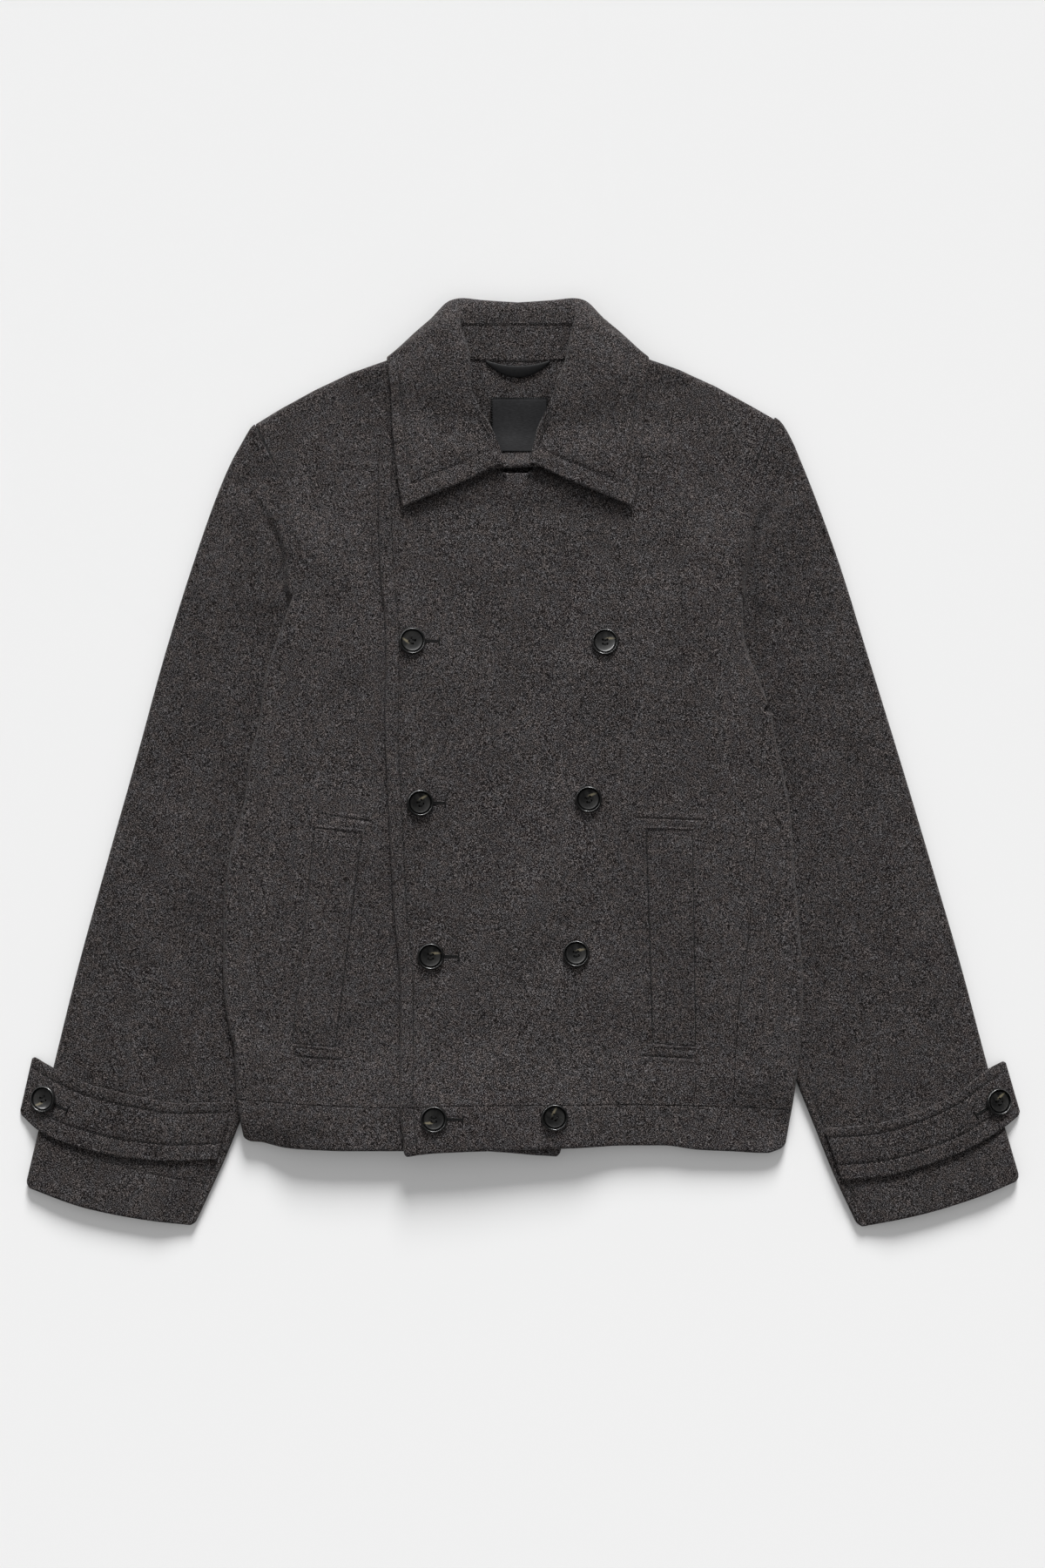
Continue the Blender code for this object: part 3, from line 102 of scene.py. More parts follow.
# walls, gaps and stacking heights
layers = {
    "wall": 0.0030, "gap": 0.0008, "overlapGap": 0.0010, "seamGap": 0.0004,
    "sleeveFlat": 0.0068, "sleeveCrown": 0.0098, "sleeveCuff": 0.0092,
    "collarWall": 0.0040, "collarRise": 0.0050, "standWall": 0.0016, "facingWall": 0.0015,
    "facingGap": 0.0006, "labelWall": 0.0006, "loopWall": 0.0012, "strapWall": 0.0024,
    "weltWall": 0.0012, "frameWall": 0.0006, "buttonholeWall": 0.0003,
    "chestLoft": 0.0021, "riseRun": 0.085, "riseStart": 0.008, "sideRoll": 0.0048, "backInset": 0.0042,
    "floorGap": 0.0006, "collarGap": 0.0010,
}
wall = layers["wall"]
backRise = layers["sleeveFlat"] + 0.0005
facingRise = layers["facingWall"] + layers["facingGap"]

# the outline, y then x, and x then y for the crosswise seams
outline = {
    "sideRight": [
        (-0.3195, -0.2345), (-0.302, -0.2378), (-0.28, -0.2409), (-0.239, -0.2431),
        (-0.225, -0.2472), (-0.18, -0.252), (-0.128, -0.252), (-0.0836, -0.2475),
        (-0.0318, -0.2342), (0.003, -0.2298), (0.0318, -0.2224), (0.0762, -0.2157),
        (0.1177, -0.2017), (0.1384, -0.1942), (0.1709, -0.1854), (0.2087, -0.1935),
        (0.2398, -0.2017), (0.2553, -0.2091), (0.289, -0.2248),
    ],
    "sideLeft": [
        (-0.3263, 0.225), (-0.2908, 0.2312), (-0.2686, 0.2342), (-0.225, 0.2379),
        (-0.1968, 0.2401), (-0.1443, 0.2372), (-0.0836, 0.232), (-0.0488, 0.2298),
        (-0.0111, 0.2238), (0.0215, 0.2164), (0.0407, 0.2135), (0.0666, 0.2046),
        (0.0895, 0.195), (0.1162, 0.1891), (0.131, 0.1891), (0.1643, 0.1846),
        (0.205, 0.1883), (0.2346, 0.1942), (0.259, 0.2017), (0.293, 0.216),
    ],
    "sideSeam": [
        (-0.2908, 0.1802), (-0.202, 0.1854), (-0.1502, 0.1928), (-0.0614, 0.2002), (0.0459, 0.2068),
    ],
    "overEdge": [
        (-0.291, -0.102), (-0.1931, -0.1018), (-0.128, -0.1069), (-0.0407, -0.1114),
        (0.0348, -0.1143), (0.1066, -0.1136), (0.168, -0.1188), (0.2346, -0.1202), (0.2745, -0.118),
    ],
    "underEdge": [
        (-0.333, 0.0344), (-0.29, 0.038), (-0.163, 0.058), (-0.033, 0.078),
        (0.103, 0.094), (0.2, 0.106), (0.256, 0.113),
    ],
    "bandSeam": [
        (-0.241, -0.285), (-0.1084, -0.292), (-0.0566, -0.29), (0.0766, -0.2895),
        (0.1802, -0.2915), (0.232, -0.294),
    ],
    "hemOver": [
        (-0.098, -0.333), (-0.0714, -0.33), (-0.0122, -0.3278), (0.047, -0.326),
        (0.0914, -0.3241), (0.121, -0.3241), (0.1506, -0.3278), (0.1802, -0.3293),
        (0.2098, -0.3308), (0.225, -0.3275),
    ],
    "hemUnder": [
        (-0.2345, -0.3195), (-0.23, -0.3208), (-0.2194, -0.3215), (-0.2105, -0.3236),
        (-0.1985, -0.326), (-0.175, -0.3276), (-0.1454, -0.3286), (-0.0714, -0.3285),
        (-0.038, -0.3283), (-0.012, -0.3298), (0.012, -0.332), (0.0344, -0.3333),
    ],
    "seamTop": 0.0459, "seamJog": 0.006, "hemBackRise": 0.005,
}
lineNames = ("sideRight", "sideLeft", "sideSeam", "overEdge", "underEdge", "bandSeam", "hemOver", "hemUnder")
sideRight, sideLeft, sideSeam, overEdge, underEdge, bandSeam, hemOver, hemUnder = (
    smoothLine(outline[name]) for name in lineNames)

# top edges: share of the columns, x, y
topEdges = {
    "over": [
        (0.0, -0.118, 0.2745), (0.15, -0.07, 0.264), (0.33, -0.012, 0.2462),
        (0.38, 0.008, 0.2462), (0.405, 0.016, 0.26), (0.425, 0.022, 0.279),
        (0.445, 0.029, 0.295), (0.465, 0.035, 0.313), (0.485, 0.042, 0.331),
        (0.505, 0.046, 0.345), (0.525, 0.05, 0.359), (0.585, 0.075, 0.3555),
        (0.665, 0.106, 0.3445), (0.74, 0.1358, 0.3345), (0.83, 0.1654, 0.3212),
        (0.92, 0.195, 0.305), (1.000, 0.216, 0.293),
    ],
    "under": [
        (0.0, -0.2248, 0.2888), (0.08, -0.2046, 0.3012), (0.17, -0.175, 0.3175),
        (0.26, -0.1454, 0.3315), (0.33, -0.113, 0.3425), (0.41, -0.079, 0.3545),
        (0.475, -0.0538, 0.359), (0.495, -0.0494, 0.345), (0.515, -0.0474, 0.331),
        (0.535, -0.0459, 0.316), (0.55, -0.0424, 0.308), (0.57, -0.0349, 0.294),
        (0.59, -0.0269, 0.277), (0.605, -0.0209, 0.263), (0.625, -0.0144, 0.245),
        (0.68, 0.008, 0.2435), (0.84, 0.06, 0.251), (1.000, 0.113, 0.256),
    ],
    "back": [
        (-0.2224, 0.284), (-0.2046, 0.2972), (-0.175, 0.3135), (-0.1454, 0.3275),
        (-0.113, 0.3385), (-0.079, 0.35), (-0.0548, 0.3545), (-0.049, 0.345),
        (-0.044, 0.3408), (-0.002, 0.34), (0.037, 0.3425), (0.044, 0.347),
        (0.051, 0.3545), (0.075, 0.351), (0.106, 0.3405), (0.1358, 0.3305),
        (0.1654, 0.3172), (0.195, 0.301), (0.216, 0.289),
    ],
}

# sleeves: share of the length, x, y, and share of the head or cuff, x, y
sleeves = {
    "right": {
        "side": -1.0, "cornerY": -0.302, "seamEnd": (-0.1854, 0.1709),
        "outer": [
            (0.0, -0.2258, 0.2884), (0.012, -0.2285, 0.2862), (0.03, -0.2372, 0.2716),
            (0.06, -0.2453, 0.2568), (0.11, -0.2579, 0.2272), (0.2, -0.2786, 0.168),
            (0.32, -0.3016, 0.094), (0.46, -0.326, 0.0052), (0.6, -0.3511, -0.0836),
            (0.74, -0.3756, -0.1724), (0.87, -0.3984, -0.265), (1.00, -0.4207, -0.3596),
        ],
        "inner": [
            (0.0, -0.118, 0.0829), (0.08, -0.123, 0.0496), (0.24, -0.141, -0.017),
            (0.42, -0.165, -0.091), (0.58, -0.189, -0.165), (0.72, -0.2142, -0.239),
            (0.84, -0.2372, -0.302), (0.9, -0.2505, -0.3352), (0.95, -0.264, -0.3648),
            (1.00, -0.2771, -0.3929),
        ],
        "head": [
            (0.0, -0.2258, 0.2884), (0.16, -0.2095, 0.2553), (0.24, -0.2023, 0.2398),
            (0.38, -0.194, 0.2087), (0.56, -0.186, 0.1709), (0.78, -0.152, 0.1269),
            (1.00, -0.118, 0.0829),
        ],
        "cuff": [
            (0.0, -0.4207, -0.3596), (0.36, -0.3674, -0.3781), (0.66, -0.323, -0.387),
            (1.00, -0.2771, -0.3929),
        ],
        # width of the soft fold beside the armhole seam, by height
        "fold": [
            (0.1384, 0.001), (0.1517, 0.0095), (0.168, 0.014), (0.1939, 0.016),
            (0.2139, 0.021), (0.23, 0.03), (0.25, 0.042),
        ],
        "flat": (0.3, 0.69), "area": 0.203,
    },
    "left": {
        "side": 1.0, "cornerY": -0.2686, "seamEnd": (0.1846, 0.1643),
        "outer": [
            (0.0, 0.2168, 0.2944), (0.012, 0.2215, 0.2908), (0.03, 0.2307, 0.2756),
            (0.06, 0.2387, 0.2568), (0.11, 0.2505, 0.2272), (0.2, 0.2719, 0.168),
            (0.32, 0.2949, 0.094), (0.46, 0.3223, 0.0052), (0.6, 0.3489, -0.0836),
            (0.74, 0.3748, -0.1724), (0.87, 0.3995, -0.265), (1.00, 0.4251, -0.3537),
        ],
        "inner": [
            (0.0, 0.117, 0.0829), (0.08, 0.124, 0.0496), (0.24, 0.1462, -0.017),
            (0.42, 0.1713, -0.091), (0.58, 0.1965, -0.165), (0.72, 0.2182, -0.2242),
            (0.82, 0.2342, -0.2686), (0.88, 0.249, -0.3056), (0.94, 0.2668, -0.35),
            (1.00, 0.2875, -0.3944),
        ],
        "head": [
            (0.0, 0.2168, 0.2944), (0.16, 0.2025, 0.259), (0.26, 0.1948, 0.2346),
            (0.4, 0.1889, 0.205), (0.58, 0.1852, 0.1643), (0.79, 0.1511, 0.1236),
            (1.00, 0.117, 0.0829),
        ],
        "cuff": [
            (0.0, 0.4251, -0.3537), (0.28, 0.3874, -0.369), (0.6, 0.343, -0.3826),
            (1.00, 0.2875, -0.3944),
        ],
        "fold": [
            (0.131, 0.001), (0.1502, 0.004), (0.1724, 0.0085), (0.1917, 0.009),
            (0.2035, 0.013), (0.22, 0.022), (0.24, 0.038),
        ],
        "flat": (0.29, 0.69), "area": 0.194,
    },
}
armpitY = 0.0829


def edgeOfSleeve(rows):
    return smoothLine(sorted((row[2], row[1]) for row in rows))


innerRight, innerLeft = edgeOfSleeve(sleeves["right"]["inner"]), edgeOfSleeve(sleeves["left"]["inner"])

# creases pressed or dragged into the laid cloth: both ends, half width, height (ridges up, troughs down)
creases = {
    "body": [
        # x0, y0, x1, y1, width, height
        (-0.162, 0.285, -0.17, 0.185, 0.01, -0.0011),
        (-0.148, 0.27, -0.156, 0.15, 0.013, 0.0009),
        (0.164, 0.265, 0.156, 0.125, 0.011, -0.0012),
        (0.148, 0.25, 0.144, 0.1, 0.014, 0.0009),
        (0.175, 0.135, 0.13, 0.065, 0.011, -0.0009),
        (-0.063, -0.265, 0.049, -0.134, 0.014, -0.0015),
        (-0.04, -0.275, 0.076, -0.15, 0.016, 0.0012),
        (-0.03, -0.19, 0.05, -0.155, 0.015, -0.0008),
        (-0.165, 0.13, -0.145, 0.03, 0.015, -0.0008),
        (-0.2, 0.04, -0.175, -0.05, 0.016, 0.0008),
        (0.19, -0.02, 0.165, -0.13, 0.015, -0.0006),
        (-0.06, 0.205, -0.01, 0.15, 0.02, 0.0007),
        (0.03, 0.215, 0.09, 0.165, 0.02, -0.0007),
        (-0.05, 0.07, 0.05, 0.045, 0.022, -0.0006),
    ],
    "right": [
        (-0.218, 0.185, -0.242, 0.06, 0.02, -0.0028),
        (-0.255, 0.21, -0.27, 0.1, 0.016, 0.0009),
        (-0.27, 0.02, -0.325, -0.04, 0.015, -0.0008),
        (-0.275, -0.1, -0.335, -0.15, 0.019, 0.0008),
        (-0.285, -0.17, -0.35, -0.225, 0.017, -0.0008),
        (-0.295, -0.32, -0.39, -0.315, 0.012, 0.0006),
    ],
    "left": [
        (0.218, 0.185, 0.248, 0.07, 0.018, -0.0024),
        (0.23, 0.145, 0.265, 0.09, 0.009, 0.0007),
        (0.24, 0.05, 0.285, -0.02, 0.015, -0.0009),
        (0.285, -0.05, 0.335, -0.115, 0.017, 0.0009),
        (0.27, -0.13, 0.33, -0.19, 0.017, -0.0008),
        (0.29, -0.23, 0.38, -0.2, 0.019, 0.0007),
    ],
}


def creaseRelief(x, y, rows):
    z = np.zeros(np.broadcast(x, y).shape)
    for x0, y0, x1, y1, width, height in rows:
        dx, dy = x1 - x0, y1 - y0
        length = math.hypot(dx, dy)
        t = ((x - x0) * dx + (y - y0) * dy) / length ** 2
        off = np.abs((x - x0) * dy - (y - y0) * dx) / length
        z = z + height * ease((t + 0.20) / 0.45) * ease((1.20 - t) / 0.45) * np.exp(-(off / width) ** 2)
    return z


def restless(x, y):
    # the slight unevenness of thick cloth that was laid by hand
    z = 0.00030 * np.sin(31.0 * x + 17.0 * y + 0.4) * np.sin(23.0 * y - 9.0 * x + 1.1)
    z = z + 0.00022 * np.sin(61.0 * x - 37.0 * y + 2.0) * np.sin(43.0 * y + 19.0 * x)
    return z + 0.00010 * np.sin(118.0 * x + 71.0 * y) * np.sin(97.0 * y - 88.0 * x + 0.7)


# heights of the body's layers
def hemFade(x, y):
    start = np.where(x > 0.0, -0.308, -0.340)
    return ease((y - start) / 0.042)


def sleeveSide(x, y):
    # which side, and there the x of the sleeve's inner edge and of the armpit
    left = x > 0.0
    inner, corner = (np.where(left, innerLeft(at), innerRight(at)) for at in (y, armpitY))
    return np.where(left, 1.0, -1.0), inner, corner


def riseUp(reach, x, y):
    return ease((reach + layers["riseRun"] + layers["riseStart"]) / layers["riseRun"]) * hemFade(x, y)


def onSleeveBack(x, y):
    side, inner, corner = sleeveSide(x, y)
    return riseUp(np.where(y <= armpitY, side * (x - inner) * 0.95, -np.hypot(x - corner, y - armpitY)), x, y)


def onSleeveFront(x, y):
    side, inner, corner = sleeveSide(x, y)
    endX, endY = (np.where(x > 0.0, sleeves["left"]["seamEnd"][axis], sleeves["right"]["seamEnd"][axis])
                  for axis in (0, 1))
    share = np.clip((y - armpitY) / (endY - armpitY), 0.0, 1.0)
    edge = np.where(y <= armpitY, inner, mix(corner, endX, share))
    return riseUp(side * (x - edge) * 0.85, x, y) * ease((0.243 - y) / 0.070)


collarMiddle = -0.0019
collarLowEdge = smoothLine([
    (0.000, 0.3262), (0.035, 0.3275), (0.070, 0.3305), (0.099, 0.3400), (0.130, 0.3570), (0.170, 0.3850),
])
overlapLimit = smoothLine([(-0.118, 0.278), (-0.070, 0.269), (-0.012, 0.258), (0.030, 0.258), (0.113, 0.262)])
facing = {
    "half": 0.056, "low": 0.2380, "end": 0.2508, "flat": (0.110, 0.106), "area": 0.0102,
    # its lower end lies over the fronts' tops
    "lift": 0.0020, "slope": 0.0150, "free": 0.034,
}


def onCollar(x, y):
    return ease((y - collarLowEdge(np.abs(x - collarMiddle)) + 0.050) / 0.047)


def onFacing(x, y):
    across = ease((facing["half"] + 0.026 - np.abs(x - collarMiddle)) / 0.022)
    return across * ease((y - facing["low"] + 0.024) / 0.020)


def backUnderside(x, y):
    return np.maximum(backRise * onSleeveBack(x, y), layers["collarRise"] * onCollar(x, y))


def chestLoft(x, y):
    sides = ease((x - sideRight(y)) / 0.075) * ease((sideLeft(y) - x) / 0.075)
    return layers["chestLoft"] * sides * ease((y + 0.335) / 0.080) * ease((0.300 - y) / 0.080)


def bodyRelief(x, y):
    inside = ease((x - sideRight(y)) / 0.030) * ease((sideLeft(y) - x) / 0.030) * ease((0.335 - y) / 0.03)
    inside = inside * ease((y + 0.334) / 0.030)
    return (creaseRelief(x, y, creases["body"]) + restless(x, y)) * mix(0.25, 1.0, inside)


# turned-up cloth and lining make the hem stand higher than the panels above it
hemLift = smoothLine([
    (-0.236, 0.0000), (-0.219, 0.0006), (-0.205, 0.0042), (-0.187, 0.0088), (-0.150, 0.0104),
    (-0.110, 0.0104), (-0.071, 0.0112), (0.030, 0.0078), (0.099, 0.0056), (0.188, 0.0042), (0.230, 0.0018),
])


def hemStand(x, y):
    return hemLift(x) * ease((-0.225 - y) / 0.090)


def underFace(x, y):
    rise = np.maximum(backRise * onSleeveFront(x, y), layers["collarRise"] * onCollar(x, y))
    lift = wall + layers["gap"] + rise + facingRise * onFacing(x, y) + chestLoft(x, y)
    return lift + wall + bodyRelief(x, y) + hemStand(x, y)


def overlapStep(x, y):
    across = 1.0 - ease((x - underEdge(y) - 0.008) / 0.046)
    return across * (1.0 - ease((y - overlapLimit(x)) / 0.028))


def overFace(x, y):
    return underFace(x, y) + overlapStep(x, y) * (wall + layers["overlapGap"])


# each side's body outline, sleeve edge and front
bySide = {"left": (sideLeft, innerLeft, overFace), "right": (sideRight, innerRight, underFace)}


# finishes
def newFinish(name, settings):
    material = bpy.data.materials.new(name)
    material.use_nodes = True
    shader = material.node_tree.nodes["Principled BSDF"]
    for socket, value in settings.items():
        shader.inputs[socket].default_value = value
    return material, material.node_tree, shader


def addNode(tree, kind, inputs, output, **choices):
    # a node whose inputs are numbers, colours or the outputs of other nodes
    node = tree.nodes.new("ShaderNode" + kind)
    for choice, value in choices.items():
        setattr(node, choice, value)
    for socket, value in inputs.items():
        if isinstance(value, bpy.types.NodeSocket):
            tree.links.new(value, node.inputs[socket])
        else:
            node.inputs[socket].default_value = value
    return node.outputs[output]


def onObject(tree):
    return addNode(tree, "TexCoord", {}, "Object")


def addNoise(tree, vector, scale, detail, roughness, stretch=(1.0, 1.0, 1.0), turn=0.0):
    placing = {"Vector": vector, "Scale": stretch, "Rotation": (0.0, 0.0, turn)}
    place = addNode(tree, "Mapping", placing, "Vector")
    settings = {"Vector": place, "Scale": scale, "Detail": detail, "Roughness": roughness}
    return addNode(tree, "TexNoise", settings, "Fac")


def addMath(tree, operation, *values):
    return addNode(tree, "Math", dict(enumerate(values)), "Value", operation=operation)


def addRamp(tree, value, stops):
    colour = addNode(tree, "ValToRGB", {"Fac": value}, "Color")
    band = colour.node.color_ramp
    for element, (position, shade) in zip(band.elements, (stops[0], stops[-1])):
        element.position, element.color = position, (*shade, 1.0)
    for position, shade in stops[1:-1]:
        band.elements.new(position).color = (*shade, 1.0)
    return colour


def addBlend(tree, factor, first, second, blend):
    # 6 and 7 are the colours of a Mix node, 2 is its colour output
    inputs = {"Factor": factor, 6: first, 7: second}
    return addNode(tree, "Mix", inputs, 2, data_type="RGBA", blend_type=blend)


def addBump(tree, shader, height, strength, depth):
    normal = addNode(tree, "Bump", {"Strength": strength, "Distance": depth, "Height": height}, "Normal")
    tree.links.new(normal, shader.inputs["Normal"])


wool = {
    # position on the ramp, colour of the fibres there
    "fibres": [
        (0.24, (0.0028, 0.0021, 0.0020)), (0.42, (0.0118, 0.0097, 0.0095)),
        (0.53, (0.0292, 0.0252, 0.0247)), (0.64, (0.0690, 0.0617, 0.0610)),
        (0.82, (0.2150, 0.1965, 0.1945)),
    ],
    "warm": (1.035, 0.995, 0.970), "cool": (0.955, 1.00, 1.04),
    "fibre": 2100.0, "clump": 900.0, "patch": 34.0, "hue": 170.0,
    "gain": 2.90, "clumpShare": 0.50, "patchShare": 0.13, "bump": 0.55, "bumpDepth": 0.0006,
    "surface": {"Roughness": 0.95, "Specular IOR Level": 0.04, "Sheen Weight": 0.10, "Sheen Roughness": 0.45,
                "Sheen Tint": (0.75, 0.74, 0.73, 1.0)},
}


def woolFinish(name, toneAndPaintedShade):
    material, tree, shader = newFinish(name, wool["surface"])
    where = onObject(tree)
    fibreA = addNoise(tree, where, wool["fibre"], 1.0, 0.6, (1.0, 0.45, 1.0), 0.55)
    fibreB = addNoise(tree, where, wool["fibre"], 1.0, 0.6, (0.45, 1.0, 1.0), 0.95)
    fine = addMath(tree, "MULTIPLY", addMath(tree, "ADD", fibreA, fibreB), 0.5)
    total = addMath(tree, "MULTIPLY_ADD", fine, wool["gain"], 0.5 - wool["gain"] * 0.5)
    for part, detail in (("clump", 2.0), ("patch", 3.0)):
        noise = addNoise(tree, where, wool[part], detail, 0.6)
        share = wool[part + "Share"]
        total = addMath(tree, "ADD", total, addMath(tree, "MULTIPLY_ADD", noise, share, share * -0.5))
    # each copy scales the fibre colours: the wool's overall tone together with painted shade and painted
    # light for its pieces
    fibres = [(p, tuple(c * toneAndPaintedShade for c in colour)) for p, colour in wool["fibres"]]
    hue = addNoise(tree, where, wool["hue"], 2.0, 0.5)
    tint = addRamp(tree, hue, [(0.36, wool["warm"]), (0.64, wool["cool"])])
    colour = addBlend(tree, 1.0, addRamp(tree, total, fibres), tint, "MULTIPLY")
    tree.links.new(colour, shader.inputs["Base Color"])
    addBump(tree, shader, total, wool["bump"], wool["bumpDepth"])
    return material


satin = {"colour": (0.0165, 0.0165, 0.0180), "roughness": 0.45, "specular": 0.34, "threads": 2600.0,
         "bump": 0.25, "bumpDepth": 0.0001}


def satinFinish(name, shine=1.0):
    surface = {"Roughness": satin["roughness"], "Specular IOR Level": satin["specular"] * shine}
    material, tree, shader = newFinish(name, surface)
    threads = addNoise(tree, onObject(tree), satin["threads"], 1.0, 0.5, (0.12, 1.0, 1.0))
    low, high = (tuple(c * shine * part for c in satin["colour"]) for part in (0.7, 1.8))
    tree.links.new(addRamp(tree, threads, [(0.3, low), (0.7, high)]), shader.inputs["Base Color"])
    addBump(tree, shader, threads, satin["bump"], satin["bumpDepth"])
    return material


thread = {"twist": 3200.0, "surface": {"Roughness": 0.8, "Specular IOR Level": 0.15}}


def threadFinish(name, shade):
    material, tree, shader = newFinish(name, thread["surface"])
    twist = addNoise(tree, onObject(tree), thread["twist"], 1.0, 0.5)
    colour = addRamp(tree, twist, [(0.3, (shade * 0.6,) * 3), (0.7, (shade * 1.5,) * 3)])
    tree.links.new(colour, shader.inputs["Base Color"])
    return material


horn = {
    "dark": (0.0030, 0.0030, 0.0030), "smoke": (0.0300, 0.0292, 0.0275), "streak": (0.1700, 0.1480, 0.0950),
    "cloud": 170.0, "rim": (0.0080, 0.0090), "fleckPlace": (-0.0042, -0.0028, 0.0),
    "fleckScale": (230.0, 900.0, 0.0), "fleckTurn": -0.6, "fleckEdge": (1.9, 0.9), "ragged": 700.0,
    "surface": {"Roughness": 0.40, "Coat Weight": 0.8, "Coat Roughness": 0.16},
}


def hornFinish(name):
    material, tree, shader = newFinish(name, horn["surface"])
    where = onObject(tree)

    def lengthOf(vector):
        return addNode(tree, "VectorMath", {0: vector}, "Value", operation="LENGTH")

    def ramped(value, ends):
        return addNode(tree, "MapRange", {"Value": value, "From Min": ends[0], "From Max": ends[1]}, "Result")

    cloud = addNoise(tree, where, horn["cloud"], 3.0, 0.6, (1.0, 0.35, 1.0))
    # painted shade: the colour darkens from the dish's edge outwards, over the groove and the turned rim
    flat = addNode(tree, "Mapping", {"Vector": where, "Scale": (1.0, 1.0, 0.0)}, "Vector")
    cloud = addMath(tree, "SUBTRACT", cloud, ramped(lengthOf(flat), horn["rim"]))
    body = addRamp(tree, cloud, [(0.38, horn["dark"]), (0.66, horn["smoke"])])
    # a pale fleck on one side of each button, where the layers of the horn show
    place = addNode(tree, "Mapping", {"Vector": where, "Location": horn["fleckPlace"]}, "Vector")
    turned = {"Vector": place, "Rotation": (0.0, 0.0, horn["fleckTurn"]), "Scale": horn["fleckScale"]}
    length = lengthOf(addNode(tree, "Mapping", turned, "Vector"))
    near = addMath(tree, "MULTIPLY_ADD", addNoise(tree, where, horn["ragged"], 3.0, 0.6), 1.3, length)
    colour = addBlend(tree, ramped(near, horn["fleckEdge"]), body, (*horn["streak"], 1.0), "MIX")
    tree.links.new(colour, shader.inputs["Base Color"])
    return material


# one wool in four copies of different lightness: painted shade on the sleeves, cuff straps and inside of the
# neck, painted light on the collar
woolOuter = woolFinish("charcoalWool", 0.94)
woolSleeve = woolFinish("charcoalWoolSleeve", 0.85)
woolInside = woolFinish("charcoalWoolInside", 0.90)
woolCollar = woolFinish("charcoalWoolCollar", 0.98)
satinBlack = satinFinish("blackSatin")
tapeBlack = satinFinish("blackTape", 0.30)
threadDark = threadFinish("charcoalThread", 0.010)
threadBlack = threadFinish("blackThread", 0.004)
hornDark = hornFinish("darkHorn")
print("coat: finishes made")


# mesh helpers
floorRest = {"upper": 0.0008, "under": 0.0002}


def restOnFloor(piece, count):
    # the wall is made real, and what would reach through the floor is laid on it
    seen = piece.evaluated_get(bpy.context.evaluated_depsgraph_get())
    walled = bpy.data.meshes.new_from_object(seen)
    spots = np.empty(len(walled.vertices) * 3)
    walled.vertices.foreach_get("co", spots)
    spots = spots.reshape(-1, 3)
    spots[:count, 2] = np.maximum(spots[:count, 2], floorRest["upper"])
    spots[count:, 2] = np.maximum(spots[count:, 2], floorRest["under"])
    walled.vertices.foreach_set("co", spots.ravel())
    piece.modifiers.clear()
    piece.data = walled


def newPiece(name, mesh, material):
    mesh.shade_smooth()
    mesh.materials.append(material)
    piece = bpy.data.objects.new(name, mesh)
    bpy.context.scene.collection.objects.link(piece)
    return piece


def gridPiece(name, x, y, z, thickness, nodes, material=woolOuter, flip=False, ring=False, keep=None):
    # rows x columns of points as one walled piece of cloth
    rows, columns = np.broadcast(x, y, z).shape
    x, y, z = (np.broadcast_to(a, (rows, columns)) for a in (x, y, z))
    points = np.stack([x + shiftX, y + shiftY, z], axis=-1).reshape(-1, 3)
    number = np.arange(rows * columns).reshape(rows, columns)
    right = np.roll(number, -1, axis=1) if ring else number[:, 1:]
    left = number if ring else number[:, :-1]
    faces = np.stack([left[:-1], right[:-1], right[1:], left[1:]], axis=-1)
    if keep is not None:
        faces = faces[keep]
    faces = faces.reshape(-1, 4)
    if flip:
        faces = faces[:, ::-1]
    used = np.unique(faces)
    renumber = np.zeros(len(points), int)
    renumber[used] = np.arange(len(used))
    mesh = bpy.data.meshes.new(name)
    mesh.from_pydata(points[used].tolist(), [], renumber[faces].tolist())
    piece = newPiece(name, mesh, material)
    thicken = piece.modifiers.new("wall", "SOLIDIFY")
    thicken.thickness = thickness
    thicken.offset = -1.0
    thicken.use_rim = True
    if not ring and float(z.min()) < thickness:
        restOnFloor(piece, len(used))
    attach(piece, "root")
    if nodes:
        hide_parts(*nodes)
    return piece


def panelPoints(bottom, top, low, high, edges, spacing=0.003):
    # a patch between four plan curves; edges hold the distances of the close rows at each side
    height = float(np.linalg.norm(top(0.5) - bottom(0.5)))
    near, far = np.array(edges["bottom"]), np.array(edges["top"])
    count = max(2, int((height - near[-1] - far[-1]) / spacing))
    middle = np.linspace(near[-1], height - far[-1], count + 1)[1:-1]
    v = np.concatenate([near, middle, height - far[::-1]]) / height
    v = v[:, None]
    width = np.linalg.norm(high(v) - low(v), axis=0)
    first, last = np.array(edges["left"]), np.array(edges["right"])
    count = max(2, int((float(width.mean()) - first[-1] - last[-1]) / spacing))
    share = np.linspace(0.0, 1.0, count + 1)[1:-1]
    inside = first[-1] + share * (width - first[-1] - last[-1])
    u = np.concatenate([np.broadcast_to(first, (len(v), len(first))), inside,
                        width - np.broadcast_to(last[::-1], (len(v), len(last)))], axis=1) / width
    corners = (
        (1 - u) * (1 - v) * bottom(0.0)[:, None, None] + u * (1 - v) * bottom(1.0)[:, None, None]
        + (1 - u) * v * top(0.0)[:, None, None] + u * v * top(1.0)[:, None, None]
    )
    spots = (1 - v) * bottom(u) + v * top(u) + (1 - u) * low(v) + u * high(v) - corners
    far = {"left": u * width, "right": (1 - u) * width,
           "bottom": v * height + 0 * u, "top": (1 - v) * height + 0 * u}
    return spots[0], spots[1], far


def sideLine(y0, y1, edge):
    # a panel's side, from y0 up to y1
    def at(v):
        y = mix(y0, y1, v)
        return np.stack([edge(y), y])

    return at


def crossLine(low, high, end, seam, lift=0.0):
    # a panel's lower or upper edge, between end 0 or 1 of its sides
    x0, x1 = low(end)[0], high(end)[0]

    def at(u):
        x = mix(x0, x1, u)
        return np.stack([x, seam(x) + lift])

    return at


